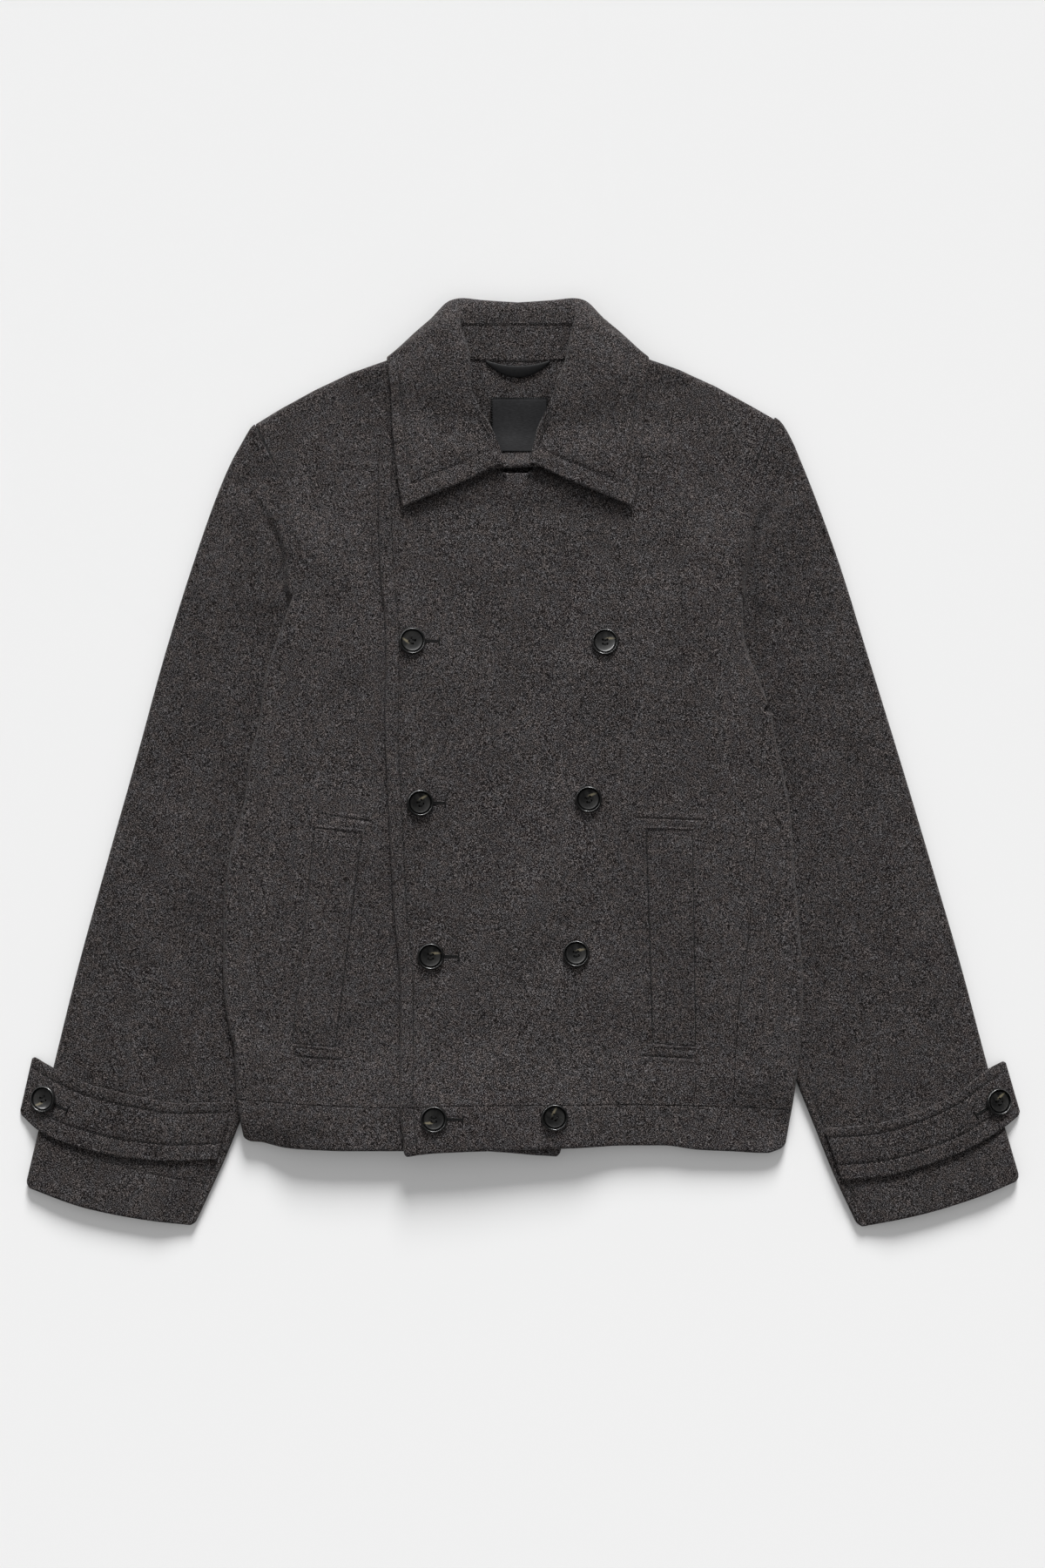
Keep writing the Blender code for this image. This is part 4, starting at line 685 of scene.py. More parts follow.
def closeAtEnds(near, start, length, count):
    # places along a length, close together at both ends
    return np.concatenate([near, np.linspace(start, length - start, count), length - near[::-1]])


def roundOff(distance, radius, drop):
    # how far a rounded edge has dropped at this distance in from it
    t = np.clip(1.0 - distance / radius, 0.0, 1.0)
    return drop * (1.0 - np.sqrt(1.0 - t * t))


def cornerCut(distance, radius):
    # how much a rounded corner takes off the side at this distance from the end
    t = np.clip(1.0 - distance / radius, 0.0, 1.0)
    return 0.6 * radius * t * t


def groove(distance, at, depth, width=0.0009):
    return depth * np.exp(-((distance - at) / width) ** 2)


edgeRows = {
    "free": [0.0, 0.00012, 0.0005, 0.0011, 0.0020, 0.0032],
    "seam": [0.0, 0.0003, 0.0007, 0.0013, 0.0024],
    "fold": [0.0, 0.0, 0.00018, 0.0007, 0.0016, 0.0028, 0.0040, 0.0052, 0.0070],
    "stitched": [0.0, 0.00012, 0.0005, 0.0011, 0.0020, 0.0032, 0.0055, 0.0080, 0.0096, 0.0103, 0.0108, 0.0113,
                 0.0120, 0.0135, 0.0155],
}
freeEdge = {"radius": 0.0019, "drop": 0.0022}
seamEdge = {"radius": 0.0012, "drop": 0.0009}


def foldDrop(distance, face, end, strength, seam=1.0):
    radius = np.minimum(layers["sideRoll"], np.maximum(face - end, 0.0))
    drop = roundOff(distance, layers["sideRoll"], 1.0) * radius * strength
    return drop + roundOff(distance, **seamEdge) * (1.0 - strength) * seam


def tuck(z, index, axis, end, strength):
    # the outermost row or column of a folded edge runs on down to where the fold ends
    take = [slice(None), slice(None)]
    take[axis] = index
    take = tuple(take)
    z[take] = np.minimum(z[take], mix(z[take] - layers["floorGap"], end[take], strength[take]))
    return z


def hemSeamDrop(distance, x):
    # the band's seam is pressed flat and shows only in places
    show = 0.50 + 0.32 * np.sin(74.0 * x + 1.0) * np.sin(31.0 * x) + 0.18 * np.sin(207.0 * x)
    return roundOff(distance, 0.0009, seamEdge["drop"] * 0.80) * show


def sideSeamShow(y):
    return mix(0.55, 0.20, ease((y + 0.170) / 0.100)) * (0.8 + 0.2 * np.sin(90.0 * y))


# fronts
frontStitch = {"inset": 0.0112, "depth": 0.0010, "swell": 0.00045}


def stitchedEdge(distance):
    inset = frontStitch["inset"]
    swell = frontStitch["swell"] * np.sin(np.pi * np.clip(distance / inset, 0.0, 1.0))
    return swell - groove(distance, inset, frontStitch["depth"], 0.0011)


# the front sinks just below the lower edges of the collar's leaves
leafTrough = {"depth": 0.0040, "width": 0.0030,
              "ends": [((-0.0109, 0.2540), (-0.0977, 0.2178)), ((0.0064, 0.2545), (0.0927, 0.2190))]}
seamHalf = layers["seamGap"] * 0.5
hemBand = {"wall": 0.0042, "spacing": 0.0026, "roll": 0.0024}       # the hem is turned up double


def foldEnds(x, y):
    # how low a folded side and a folded top run down
    end = mix(layers["floorGap"], layers["sleeveFlat"] + layers["floorGap"], onSleeveFront(x, y))
    return end, mix(end, layers["collarRise"] + layers["collarGap"], onCollar(x, y))


def bandEnd(y, start):
    return mix(layers["floorGap"], layers["sleeveFlat"] + layers["floorGap"], ease((y - start) / 0.012))


def pickRows(*kinds):
    return {side: edgeRows[kind] for side, kind in zip(("left", "right", "bottom", "top"), kinds)}


def foldedEdges(z, face, x, y, far, side, shoulder, fold, seam):
    # rolls the folded side and the shoulder down; fold is the side's name
    end, topEnd = foldEnds(x, y)
    z = z - foldDrop(far[fold], face, end, side, seam) - foldDrop(far["top"], face, topEnd, shoulder)
    z = tuck(z, 0 if fold == "left" else -1, 1, end, side)
    return tuck(z, -1, 0, topEnd, shoulder)


def foldedBand(z, face, x, y, far, start, fold):
    end, one = bandEnd(y, start), np.ones_like(x)
    z = z - roundOff(far["bottom"], hemBand["roll"], hemBand["roll"]) - hemSeamDrop(far["top"], x)
    return tuck(z - foldDrop(far[fold], face, end, one), 0 if fold == "left" else -1, 1, end, one)


def makeFrontOver():
    def wrapEdge(y):
        jog = np.clip((y - outline["seamTop"]) / outline["seamJog"], 0.0, 1.0)
        above = mix(sideSeam(outline["seamTop"]) - seamHalf, sideLeft(y), ease(jog))
        return np.where(y <= outline["seamTop"], sideSeam(y) - seamHalf, above)

    top = topEdges["over"]
    low = sideLine(bandSeam(-0.102) + seamHalf, top[0][2], overEdge)
    high = sideLine(bandSeam(0.180) + seamHalf, top[-1][2], wrapEdge)
    x, y, far = panelPoints(crossLine(low, high, 0.0, bandSeam, seamHalf), planCurve(top), low, high,
                            pickRows("stitched", "fold", "seam", "fold"))
    face = overFace(x, y)
    for start, finish in leafTrough["ends"]:
        face = face - seamLine(x, y, start, finish, leafTrough["depth"], leafTrough["width"])
    side = ease((y - outline["seamTop"]) / outline["seamJog"]) * (1.0 - ease((y - 0.124) / 0.030))
    seam = mix(sideSeamShow(y), seamShow(y), ease((y - 0.060) / 0.060))
    z = face - roundOff(far["left"], **freeEdge) + stitchedEdge(far["left"]) - hemSeamDrop(far["bottom"], x)
    z = foldedEdges(z, face, x, y, far, side, ease((x - 0.056) / 0.020), "right", seam)
    piece = gridPiece("frontOver", x, y, z, wall, ["front_over"])


def makeFrontUnder():
    top = topEdges["under"]
    low = sideLine(bandSeam(-0.240) + seamHalf, top[0][2], sideRight)
    high = sideLine(bandSeam(0.038) + seamHalf, top[-1][2], underEdge)
    x, y, far = panelPoints(crossLine(low, high, 0.0, bandSeam, seamHalf), planCurve(top), low, high,
                            pickRows("fold", "free", "seam", "fold"), 0.0034)
    face = underFace(x, y)
    z = face - roundOff(far["right"], **freeEdge) - hemSeamDrop(far["bottom"], x)
    z = foldedEdges(z, face, x, y, far, 1.0 - ease((y - 0.128) / 0.030), ease((-0.0600 - x) / 0.020), "left",
                    seamShow(y))
    piece = gridPiece("frontUnder", x, y, z, wall, ["front_under"])


def makeBandOver():
    def low(v):
        y = mix(hemOver(-0.098), bandSeam(-0.102) - seamHalf, v)
        return np.stack([mix(-0.0980, overEdge(-0.291), v), y])

    high = sideLine(hemOver(0.225), bandSeam(0.230) - seamHalf, sideLeft)
    top = crossLine(low, high, 1.0, bandSeam, -seamHalf)
    x, y, far = panelPoints(crossLine(low, high, 0.0, hemOver), top, low, high,
                            pickRows("stitched", "fold", "free", "seam"), hemBand["spacing"])
    x = x + cornerCut(far["bottom"], 0.0034) * ease(1.0 - far["left"] / 0.012)
    x = x - cornerCut(far["bottom"], 0.0060) * ease(1.0 - far["right"] / 0.020)
    face = overFace(x, y)
    z = face - roundOff(far["left"], **freeEdge) + stitchedEdge(far["left"])
    z = foldedBand(z, face, x, y, far, -0.281, "right")
    piece = gridPiece("hemBandOver", x, y, z, hemBand["wall"], ["hem_band_over"])


def makeBandUnder():
    low = sideLine(hemUnder(-0.2345), bandSeam(-0.240) - seamHalf, sideRight)
    high = sideLine(hemUnder(0.0344), bandSeam(0.038) - seamHalf, underEdge)
    top = crossLine(low, high, 1.0, bandSeam, -seamHalf)
    x, y, far = panelPoints(crossLine(low, high, 0.0, hemUnder), top, low, high,
                            pickRows("fold", "free", "free", "seam"), hemBand["spacing"])
    x = x + cornerCut(far["bottom"], 0.0036) * ease(1.0 - far["left"] / 0.020)
    x = x - cornerCut(far["bottom"], 0.0055) * ease(1.0 - far["right"] / 0.016)
    face = underFace(x, y)
    z = foldedBand(face - roundOff(far["right"], **freeEdge), face, x, y, far, -0.312, "left")
    piece = gridPiece("hemBandUnder", x, y, z, hemBand["wall"], ["hem_band_under"])


# back: the face on the floor, turned up round the wearer's left side to the side seam
backWrap = {"start": 0.0050, "turns": np.linspace(-90.0, 90.0, 11), "columns": 15}


def backEdge(y, name):
    side, (endX, endY) = sleeves[name]["side"], sleeves[name]["seamEnd"]
    body, inner, _ = bySide[name]
    pitX, pitY = inner(armpitY) - side * 0.006, armpitY - 0.004
    startY = outline["seamTop"] if name == "left" else -0.050
    inset = body(y) - side * layers["backInset"]
    lowPart = mix(inset, pitX, ease((y - startY) / (pitY - startY)))
    midPart = mix(pitX, endX - side * 0.0016, (y - pitY) / (endY - pitY))
    highPart = body(y) - side * 0.0016
    return np.where(y > endY, highPart, np.where(y > pitY, midPart, lowPart))


def makeBack():
    backTop = straightLine(topEdges["back"])
    lowY, highY = -0.2850, 0.2860
    rows = np.concatenate([[0.0, 0.0004, 0.0012, 0.003], np.linspace(0.008, 0.571, 130)]) / 0.571
    v = rows[:, None]
    sideY = mix(lowY, highY, v)
    wrapped = (sideY < outline["seamTop"] + 0.001)
    shares = np.linspace(0.0, 0.985, 64)[None, :]
    leftX = backEdge(sideY, "right")
    rightX = np.where(wrapped, sideLeft(sideY) - backWrap["start"], backEdge(sideY, "left"))
    x = mix(leftX, rightX, shares)
    topX = mix(topEdges["back"][0][0] + 0.0018, topEdges["back"][-1][0] - 0.0018, shares)
    x = np.where((shares > 0.0), mix(x, topX, ease((v - 0.86) / 0.14)), x)
    y = mix(bandSeam(x) + seamHalf, backTop(topX) - 0.0008, v)
    z = backUnderside(x, y)
    rightEnd = topEdges["back"][-1][1]
    wrapY = mix(bandSeam(sideLeft(sideY)) + seamHalf, rightEnd, v)
    foldX = sideLeft(wrapY)
    under = backUnderside(foldX - backWrap["start"], wrapY)
    face = overFace(foldX - backWrap["start"], wrapY)
    radius = (face - under) / 2.0
    angle = np.radians(backWrap["turns"])[None, :]
    turnX = foldX - radius * (1.0 - np.cos(angle))
    turnZ = under + radius * (1.0 + np.sin(angle))
    turnY = wrapY + 0.0 * angle
    part = np.linspace(0.0, 1.0, backWrap["columns"])[1:]
    part = np.concatenate([part[:-1], [1.0 - 0.03, 1.0 - 0.012, 1.0]])[None, :]
    topWrapX = mix(foldX - radius, sideSeam(wrapY) + seamHalf, part)
    topWrapY = mix(bandSeam(topWrapX) + seamHalf, rightEnd, v)
    topWrapX = mix(sideLeft(topWrapY) - radius, sideSeam(topWrapY) + seamHalf, part)
    fromSeam = topWrapX - sideSeam(topWrapY)
    seamDrop = roundOff(fromSeam, **seamEdge) * sideSeamShow(topWrapY)
    topWrapZ = overFace(topWrapX, topWrapY) - seamDrop
    turnX, turnY, turnZ = (np.where(wrapped, *pair) for pair in (
        (turnX, rightX), (turnY, y[:, -1:]), (turnZ, z[:, -1:])))
    triples = ((x, turnX, topWrapX), (y, turnY, topWrapY), (z, turnZ, topWrapZ))
    allX, allY, allZ = (np.concatenate(triple, axis=1) for triple in triples)
    allZ = allZ - hemSeamDrop(v * 0.57, allX) * (allZ > 0.006)
    # above the wrap the back ends at the armhole
    keep = np.ones((allX.shape[0] - 1, allX.shape[1] - 1), bool)
    keep[int(wrapped[:, 0].sum()) - 1:, shares.shape[1]:] = False
    piece = gridPiece("backPanel", allX, allY, allZ, wall, ["back"], flip=True, keep=keep)


def makeBandBack():
    share = np.linspace(0.0, 1.0, 120)[None, :]
    v = np.array([0.0, 0.02, 0.06, 0.14, 0.3, 0.5, 0.7, 0.86, 0.95, 1.0])[:, None]
    leftY = mix(-0.3125, -0.2854, v)
    inset = layers["backInset"]
    x = mix(sideRight(leftY) + inset + 0.001, sideLeft(leftY - 0.004) - inset - 0.0015, share)
    low = mix(hemUnder(x), hemOver(x), ease((x + 0.098) / 0.05)) + outline["hemBackRise"]
    y = mix(low, bandSeam(x) - 0.0002, v)
    piece = gridPiece("hemBandBack", x, y, backUnderside(x, y), wall, ["hem_band_back"], flip=True)


# cuff straps: share, upper edge x, y, lower edge x, y
straps = {
    "right": [
        (0.0, -0.245, -0.2872, -0.2575, -0.336), (0.18, -0.2882, -0.2879, -0.293, -0.3374),
        (0.42, -0.3208, -0.2827, -0.333, -0.3345), (0.68, -0.3622, -0.2731, -0.372, -0.3262),
        (0.86, -0.3978, -0.2575, -0.4089, -0.3115), (1.00, -0.4148, -0.2486, -0.4259, -0.2975),
    ],
    "left": [
        (0.0, 0.258, -0.3093, 0.2735, -0.3537), (0.2, 0.2956, -0.3064, 0.3097, -0.35),
        (0.42, 0.3304, -0.2975, 0.3452, -0.3404), (0.64, 0.3659, -0.2819, 0.3779, -0.328),
        (0.86, 0.3978, -0.259, 0.4103, -0.3093), (1.00, 0.4126, -0.2523, 0.4259, -0.2982),
    ],
    "bed": [
        # distance past the sleeve's outer edge, height of the strap's underside
        (-0.04, 0.0104), (-0.026, 0.01), (-0.014, 0.0092), (-0.004, 0.0078),
        (0.003, 0.0058), (0.01, 0.003), (0.016, 0.001), (0.026, 0.0006),
    ],
    # the end sewn into the sleeve's seam: x and y of its upper corner, how much x grows downwards
    "sewn": {"right": (0.245, -0.2872, 0.256), "left": (0.258, -0.3093, 0.349)}, "sewnTop": 0.0102,
    "flat": {"right": (0.19, 0.052), "left": (0.16, 0.05)},
    "stitchTop": 0.0095, "stitchLow": 0.0145, "thick": 0.0022, "corner": 0.0045,
}


# sleeves
sleeveShape = {"turns": np.linspace(-90.0, 90.0, 13), "top": 58, "low": 18, "length": 0.69,
               "foldLow": 0.130, "foldFall": 0.0080, "corner": 0.0055}
cuffStitch = {"inset": 0.042, "seamInset": 0.0068}


def seamShow(y):
    # the armhole seam is a groove near the shoulder and lies flush further down
    return mix(0.35, 1.0, ease((y - 0.205) / 0.040))


def sleevePlan(rows):
    outer, inner = planCurve(rows["outer"], smoothLine), planCurve(rows["inner"], smoothLine)
    headLine, cuff = planCurve(rows["head"], smoothLine), planCurve(rows["cuff"], smoothLine)

    def head(s):
        # near the shoulder the sleeve meets the front in a groove, below it slips in under the front's edge
        spots = headLine(np.asarray(s, float))
        clear = mix(-0.0018, 0.0003, ease((spots[1] - 0.215) / 0.045))
        clear = clear * np.clip(2.5 * (1.0 - np.asarray(s, float)), 0.0, 1.0)
        return np.stack([spots[0] + rows["side"] * clear, spots[1]])

    def plan(s, t):
        def corner(point):
            return point.reshape(2, *([1] * np.broadcast(s, t).ndim))
        corners = (
            (1 - s) * (1 - t) * corner(head(0.0)) + s * (1 - t) * corner(head(1.0))
            + (1 - s) * t * corner(cuff(0.0)) + s * t * corner(cuff(1.0))
        )
        return (1 - t) * head(s) + t * cuff(s) + (1 - s) * outer(t) + s * inner(t) - corners

    return plan, outer, inner


def sleeveTop(rows, name, x, y, t, outer):
    side, cornerY = rows["side"], rows["cornerY"]
    body, inner, face = bySide[name]
    out = side * (x - body(np.maximum(cornerY, y)))
    out = np.where(y < cornerY, np.hypot(np.maximum(out, 0.0), cornerY - y), out)
    crown = mix(layers["sleeveCrown"], layers["sleeveCuff"], ease((t - 0.7) / 0.3))
    fromEdge = np.hypot(x - outer(t)[0], y - outer(t)[1])
    crown = mix(layers["sleeveFlat"] + 0.0004, crown, ease(fromEdge / 0.034))
    reach = smoothLine(rows["fold"])(y)
    zone = ease((y - sleeveShape["foldLow"] + 0.010) / 0.020) * ease((0.262 - y) / 0.030)
    free = ease((out - reach * zone) / mix(0.045, 0.016, zone))
    z = mix(layers["sleeveFlat"] - 0.0004 * zone, crown + 0.0018 * zone * ease((0.075 - out) / 0.050), free)
    z = z + (creaseRelief(x, y, creases[name]) + restless(x, y + 0.3)) * free * ease(fromEdge / 0.03)
    z = z - strapTrough(name, x, y)
    fromInner = side * (x - inner(y)) * 0.93
    hang = ease((cornerY + 0.010 - y) / 0.040)
    z = mix(z, np.minimum(z, mix(0.0060, z, ease((fromInner - 0.003) / 0.030))), hang)
    # beside the armhole seam the sleeve's cloth stands in a soft fold, level with the front
    level = face(body(y) - side * 0.0010, y)
    fall = np.clip(1.3 * reach, 0.0030, sleeveShape["foldFall"])
    strip = 1.0 - ease((out - reach + fall * 0.5) / fall)
    lift = ease((y - sleeveShape["foldLow"]) / 0.016) * strip * ease((out + 0.0040) / 0.0030)
    return mix(z, np.maximum(z, level), lift)


def strapTrough(name, x, y):
    # the cloth sinks a little just below the strap's free edge
    edge = smoothLine(sorted((row[3], row[4]) for row in straps[name]))
    below = edge(x) - y
    lows = [row[3] for row in straps[name]]
    along = ease((x - min(lows) - 0.010) / 0.008) * ease((max(lows) - 0.004 - x) / 0.008)
    return 0.0016 * along * ease((below + 0.0040) / 0.0035) * ease((0.0046 - below) / 0.0042)


def makeSleeve(name):
    rows = sleeves[name]
    plan, outer, inner = sleevePlan(rows)
    length = sleeveShape["length"]
    stitched = np.array([-0.0022, -0.0013, -0.0006, 0.0, 0.0006, 0.0013, 0.0022])
    stitched = 1.0 - (cuffStitch["inset"] + stitched) / length
    t = np.concatenate([[0.0, 0.0005, 0.0013, 0.0026], np.linspace(0.006, 0.992, 200),
                        [0.9935, 0.9950, 0.9965, 0.9980, 0.9990, 0.9996, 0.9999, 1.0]])
    t = np.sort(np.concatenate([t[np.abs(t - stitched[3]) > 0.0045], stitched]))[:, None]
    width = np.linalg.norm(outer(t) - inner(t), axis=0)
    squeeze = 1.0 - 2.0 * cornerCut((1.0 - t) * length, sleeveShape["corner"]) / width
    columns = []

    def across(s):
        return plan(0.5 + (s - 0.5) * squeeze, t)

    def turnRim(near, turns):
        # the rolled edge at this share of the width, 0.02 or 0.98
        rim = plan(np.full_like(t, near), t)
        half = sleeveTop(rows, name, rim[0], rim[1], t, outer) / 2.0
        for angle in np.radians(turns):
            turned = half * (1.0 - math.cos(angle)) / width
            spot = across(turned if near < 0.5 else 1.0 - turned)
            columns.append((spot[0], spot[1], half * (1.0 + math.sin(angle))))

    turnRim(0.02, sleeveShape["turns"])
    topStart = 0.0052 / width
    spread = np.linspace(0.0, 1.0, sleeveShape["top"])
    shares = [mix(topStart, 1.0 - 0.0105 / width, share) for share in spread]
    shares += [1.0 - far / width for far in (0.0090, 0.0080, 0.0074, 0.0068, 0.0062, 0.0057, 0.0052)]
    for s in shares:
        spot = across(s)
        top = sleeveTop(rows, name, spot[0], spot[1], t, outer)
        below = ease((rows["cornerY"] + 0.012 - spot[1]) / 0.020)
        top = top - groove((1.0 - s) * width, cuffStitch["seamInset"], 0.0010, 0.0010) * below
        top = top - groove((1.0 - t) * length, cuffStitch["inset"], 0.0006, 0.0010)
        columns.append((spot[0], spot[1], top))
    turnRim(0.98, sleeveShape["turns"][::-1])
    for share in np.linspace(1.0, 0.0, sleeveShape["low"] + 2)[1:-1]:
        spot = across(mix(topStart, 1.0 - topStart, share))
        columns.append((spot[0], spot[1], np.zeros_like(t)))
    x, y, z = (np.concatenate([column[axis] for column in columns], axis=1) for axis in range(3))
    upper = ease((z - 0.003) / 0.002)
    z = z - upper * roundOff(t * length, **seamEdge) * seamShow(y)
    z = z - upper * roundOff((1.0 - t) * length, freeEdge["radius"], 0.0016)
    piece = gridPiece("sleeve" + name.title(), x, y, z, wall, ["sleeve_" + name], material=woolSleeve,
                      flip=name == "right", ring=True)


strapBed = smoothLine(straps["bed"])


def strapMap(name):
    rows = straps[name]
    lines = [smoothLine(rows, 0, column) for column in range(1, 5)]

    def at(share, v):
        x = mix(lines[2](share), lines[0](share), v)
        y = mix(lines[3](share), lines[1](share), v)
        return x, y

    return at


def strapFace(name, x, y):
    side = sleeves[name]["side"]
    outerX = edgeOfSleeve(sleeves[name]["outer"])
    cornerX, cornerY, lean = straps["sewn"][name]
    inward = side * x - cornerX - (cornerY - y) * lean
    z = strapBed(side * (x - outerX(y))) + straps["thick"] + 0.0003 * np.sin(60.0 * x) * np.sin(31.0 * y)
    return mix(straps["sewnTop"] - 0.0012 * ease((0.004 - inward) / 0.004), z, ease((inward - 0.001) / 0.040))


def makeStrap(name):
    at = strapMap(name)
    length, tall = straps["flat"][name]
    ends = np.array([0.0, 0.0001, 0.0004, 0.0009, 0.0016, 0.0026, 0.0040])
    near = np.array(edgeRows["free"] + [0.0060, 0.0085])
    share = closeAtEnds(ends, 0.008, length, 64) / length
    lowStitch = straps["stitchLow"] + np.array([-0.002, -0.0009, -0.0004, 0, 0.0004, 0.0009])
    highStitch = tall - np.array([0.0104, 0.0099, 0.0095, 0.0091, 0.0086])
    v = np.unique(np.concatenate([near, lowStitch, np.linspace(0.0175, tall - 0.0120, 8), highStitch,
                                  tall - near[::-1]]))[:, None] / tall
    squeeze = 1.0 - 2.0 * cornerCut((1.0 - share)[None, :] * length, straps["corner"]) / tall
    x, y = at(share[None, :], 0.5 + (v - 0.5) * squeeze)
    low, high = v * tall, (1.0 - v) * tall
    z = strapFace(name, x, y) - roundOff(low, 0.0012, 0.0011) - roundOff(high, 0.0016, 0.0014)
    z = z - roundOff((1.0 - share)[None, :] * length, 0.0019, 0.0022)
    z = z - groove(low, straps["stitchLow"], 0.0008, 0.0010)
    z = z - groove(high, straps["stitchTop"], 0.0008, 0.0010)
    piece = gridPiece("cuffStrap" + name.title(), x, y, z, layers["strapWall"], ["cuff_strap_" + name],
                      material=woolSleeve, flip=name == "right")


# pocket welts
welts = {
    "left": {"corners": ((0.1128, -0.2383), (0.1484, -0.2398), (0.1454, -0.0570), (0.1069, -0.0555)),
             "face": overFace, "on": "front_over", "open": 1, "stand": 0.0034},
    "right": {"corners": ((-0.1928, -0.2368), (-0.1572, -0.2412), (-0.1343, -0.0585), (-0.1735, -0.0548)),
              "face": underFace, "on": "front_under", "open": 0, "stand": 0.0030},
    "flat": (0.037, 0.183),
}

pocketFrame = {
    "side": 0.0150, "end": 0.0165, "spacing": 0.0007, "rise": 0.0006,
    "seamDepth": 0.0010, "seamWidth": 0.0007, "ridge": 0.0011, "pressed": 0.0110,
    # ends of the stitched line above and below each pocket
    "left": [((0.0966, -0.0459), (0.1565, -0.0481)), ((0.1003, -0.2479), (0.1469, -0.2501))],
    "right": [((-0.1794, -0.0407), (-0.1247, -0.0496)), ((-0.1905, -0.2479), (-0.1499, -0.2516))],
}


def seamLine(x, y, start, end, depth, width):
    # a stitched groove between two points, fading out at both ends
    dx, dy = end[0] - start[0], end[1] - start[1]
    length = math.hypot(dx, dy)
    along = ((x - start[0]) * dx + (y - start[1]) * dy) / length
    off = ((x - start[0]) * dy - (y - start[1]) * dx) / length
    ends = ease((along + 0.002) / 0.006) * ease((length + 0.002 - along) / 0.006)
    return depth * np.exp(-(off / width) ** 2) * ends


def weltSpots(name, p, q):
    lowIn, lowOut, highOut, highIn = (np.array(c).reshape(2, 1, 1) for c in welts[name]["corners"])
    width, height = welts["flat"]
    u, v = p / width, q / height
    return (1 - v) * mix(lowIn, lowOut, u) + v * mix(highIn, highOut, u)


def makePocketFrame(name):
    # the pressed and stitched cloth round the welt, laid as a skin over the front
    width, height = welts["flat"]
    side, end, step = pocketFrame["side"], pocketFrame["end"], pocketFrame["spacing"]
    p = np.arange(-side, width + side + step / 2, step)[None, :]
    low = np.arange(-end, 0.005, step)
    q = closeAtEnds(low, 0.007, height, 54)[:, None]
    x, y = weltSpots(name, p, q)
    border = ease((p + side) / 0.004) * ease((width + side - p) / 0.004)
    border = border * ease((q + end) / 0.004) * ease((height + end - q) / 0.004)
    outP, outQ = np.maximum(-p, p - width), np.maximum(-q, q - height)
    relief = 0.0
    for start, finish in pocketFrame[name]:
        relief = relief - seamLine(x, y, start, finish, pocketFrame["seamDepth"], pocketFrame["seamWidth"])
    ridge = pocketFrame["ridge"]
    atEnds = ease((0.003 - outP) / 0.003) * np.exp(-((outQ - 0.0013) / 0.0010) ** 2)
    atSides = ease((0.003 - outQ) / 0.003) * np.exp(-((outP - 0.0013) / 0.0010) ** 2)
    relief = relief + ridge * np.maximum(atEnds, 0.6 * atSides)
    relief = relief + 0.0007 * np.sin(np.pi * np.clip(outQ / 0.010, 0.0, 1.0)) * ease((0.010 - outP) / 0.008)
    for line in (-pocketFrame["pressed"], width + pocketFrame["pressed"]):
        relief = relief - 0.0003 * np.exp(-((p - line) / 0.0011) ** 2) * ease((q - height + 0.060) / 0.060)
    sunk = ease((-outP - 0.0002) / 0.0010) * ease((-outQ - 0.0002) / 0.0010)
    z = welts[name]["face"](x, y) - 0.0002 + border * (0.0002 + pocketFrame["rise"] + relief) - 0.0010 * sunk
    piece = gridPiece("pocketFrame" + name.title(), x, y, z, layers["frameWall"], [])


def makeWelt(name):
    rows = welts[name]
    width, height = welts["flat"]
    near = np.array(edgeRows["free"])
    p = closeAtEnds(near, 0.005, width, 12)[None, :]
    q = closeAtEnds(near, 0.005, height, 62)[:, None]
    x, y = weltSpots(name, p, q)
    openSide = width - p if rows["open"] else p
    sewnSide = p if rows["open"] else width - p
    ends = np.minimum(q, height - q)
    stand = mix(0.0008, rows["stand"], ease((sewnSide - 0.004) / (width - 0.006)))
    stand = stand * mix(0.45, 1.0, ease(ends / 0.018))
    z = rows["face"](x, y) + 0.0005 + stand
    z = z - roundOff(openSide, 0.0013, 0.0013) - roundOff(sewnSide, 0.0020, 0.0014)
    z = z - roundOff(ends, 0.0015, 0.0014)
    piece = gridPiece("pocketWelt" + name.title(), x, y, z, layers["weltWall"], ["pocket_welt_" + name])


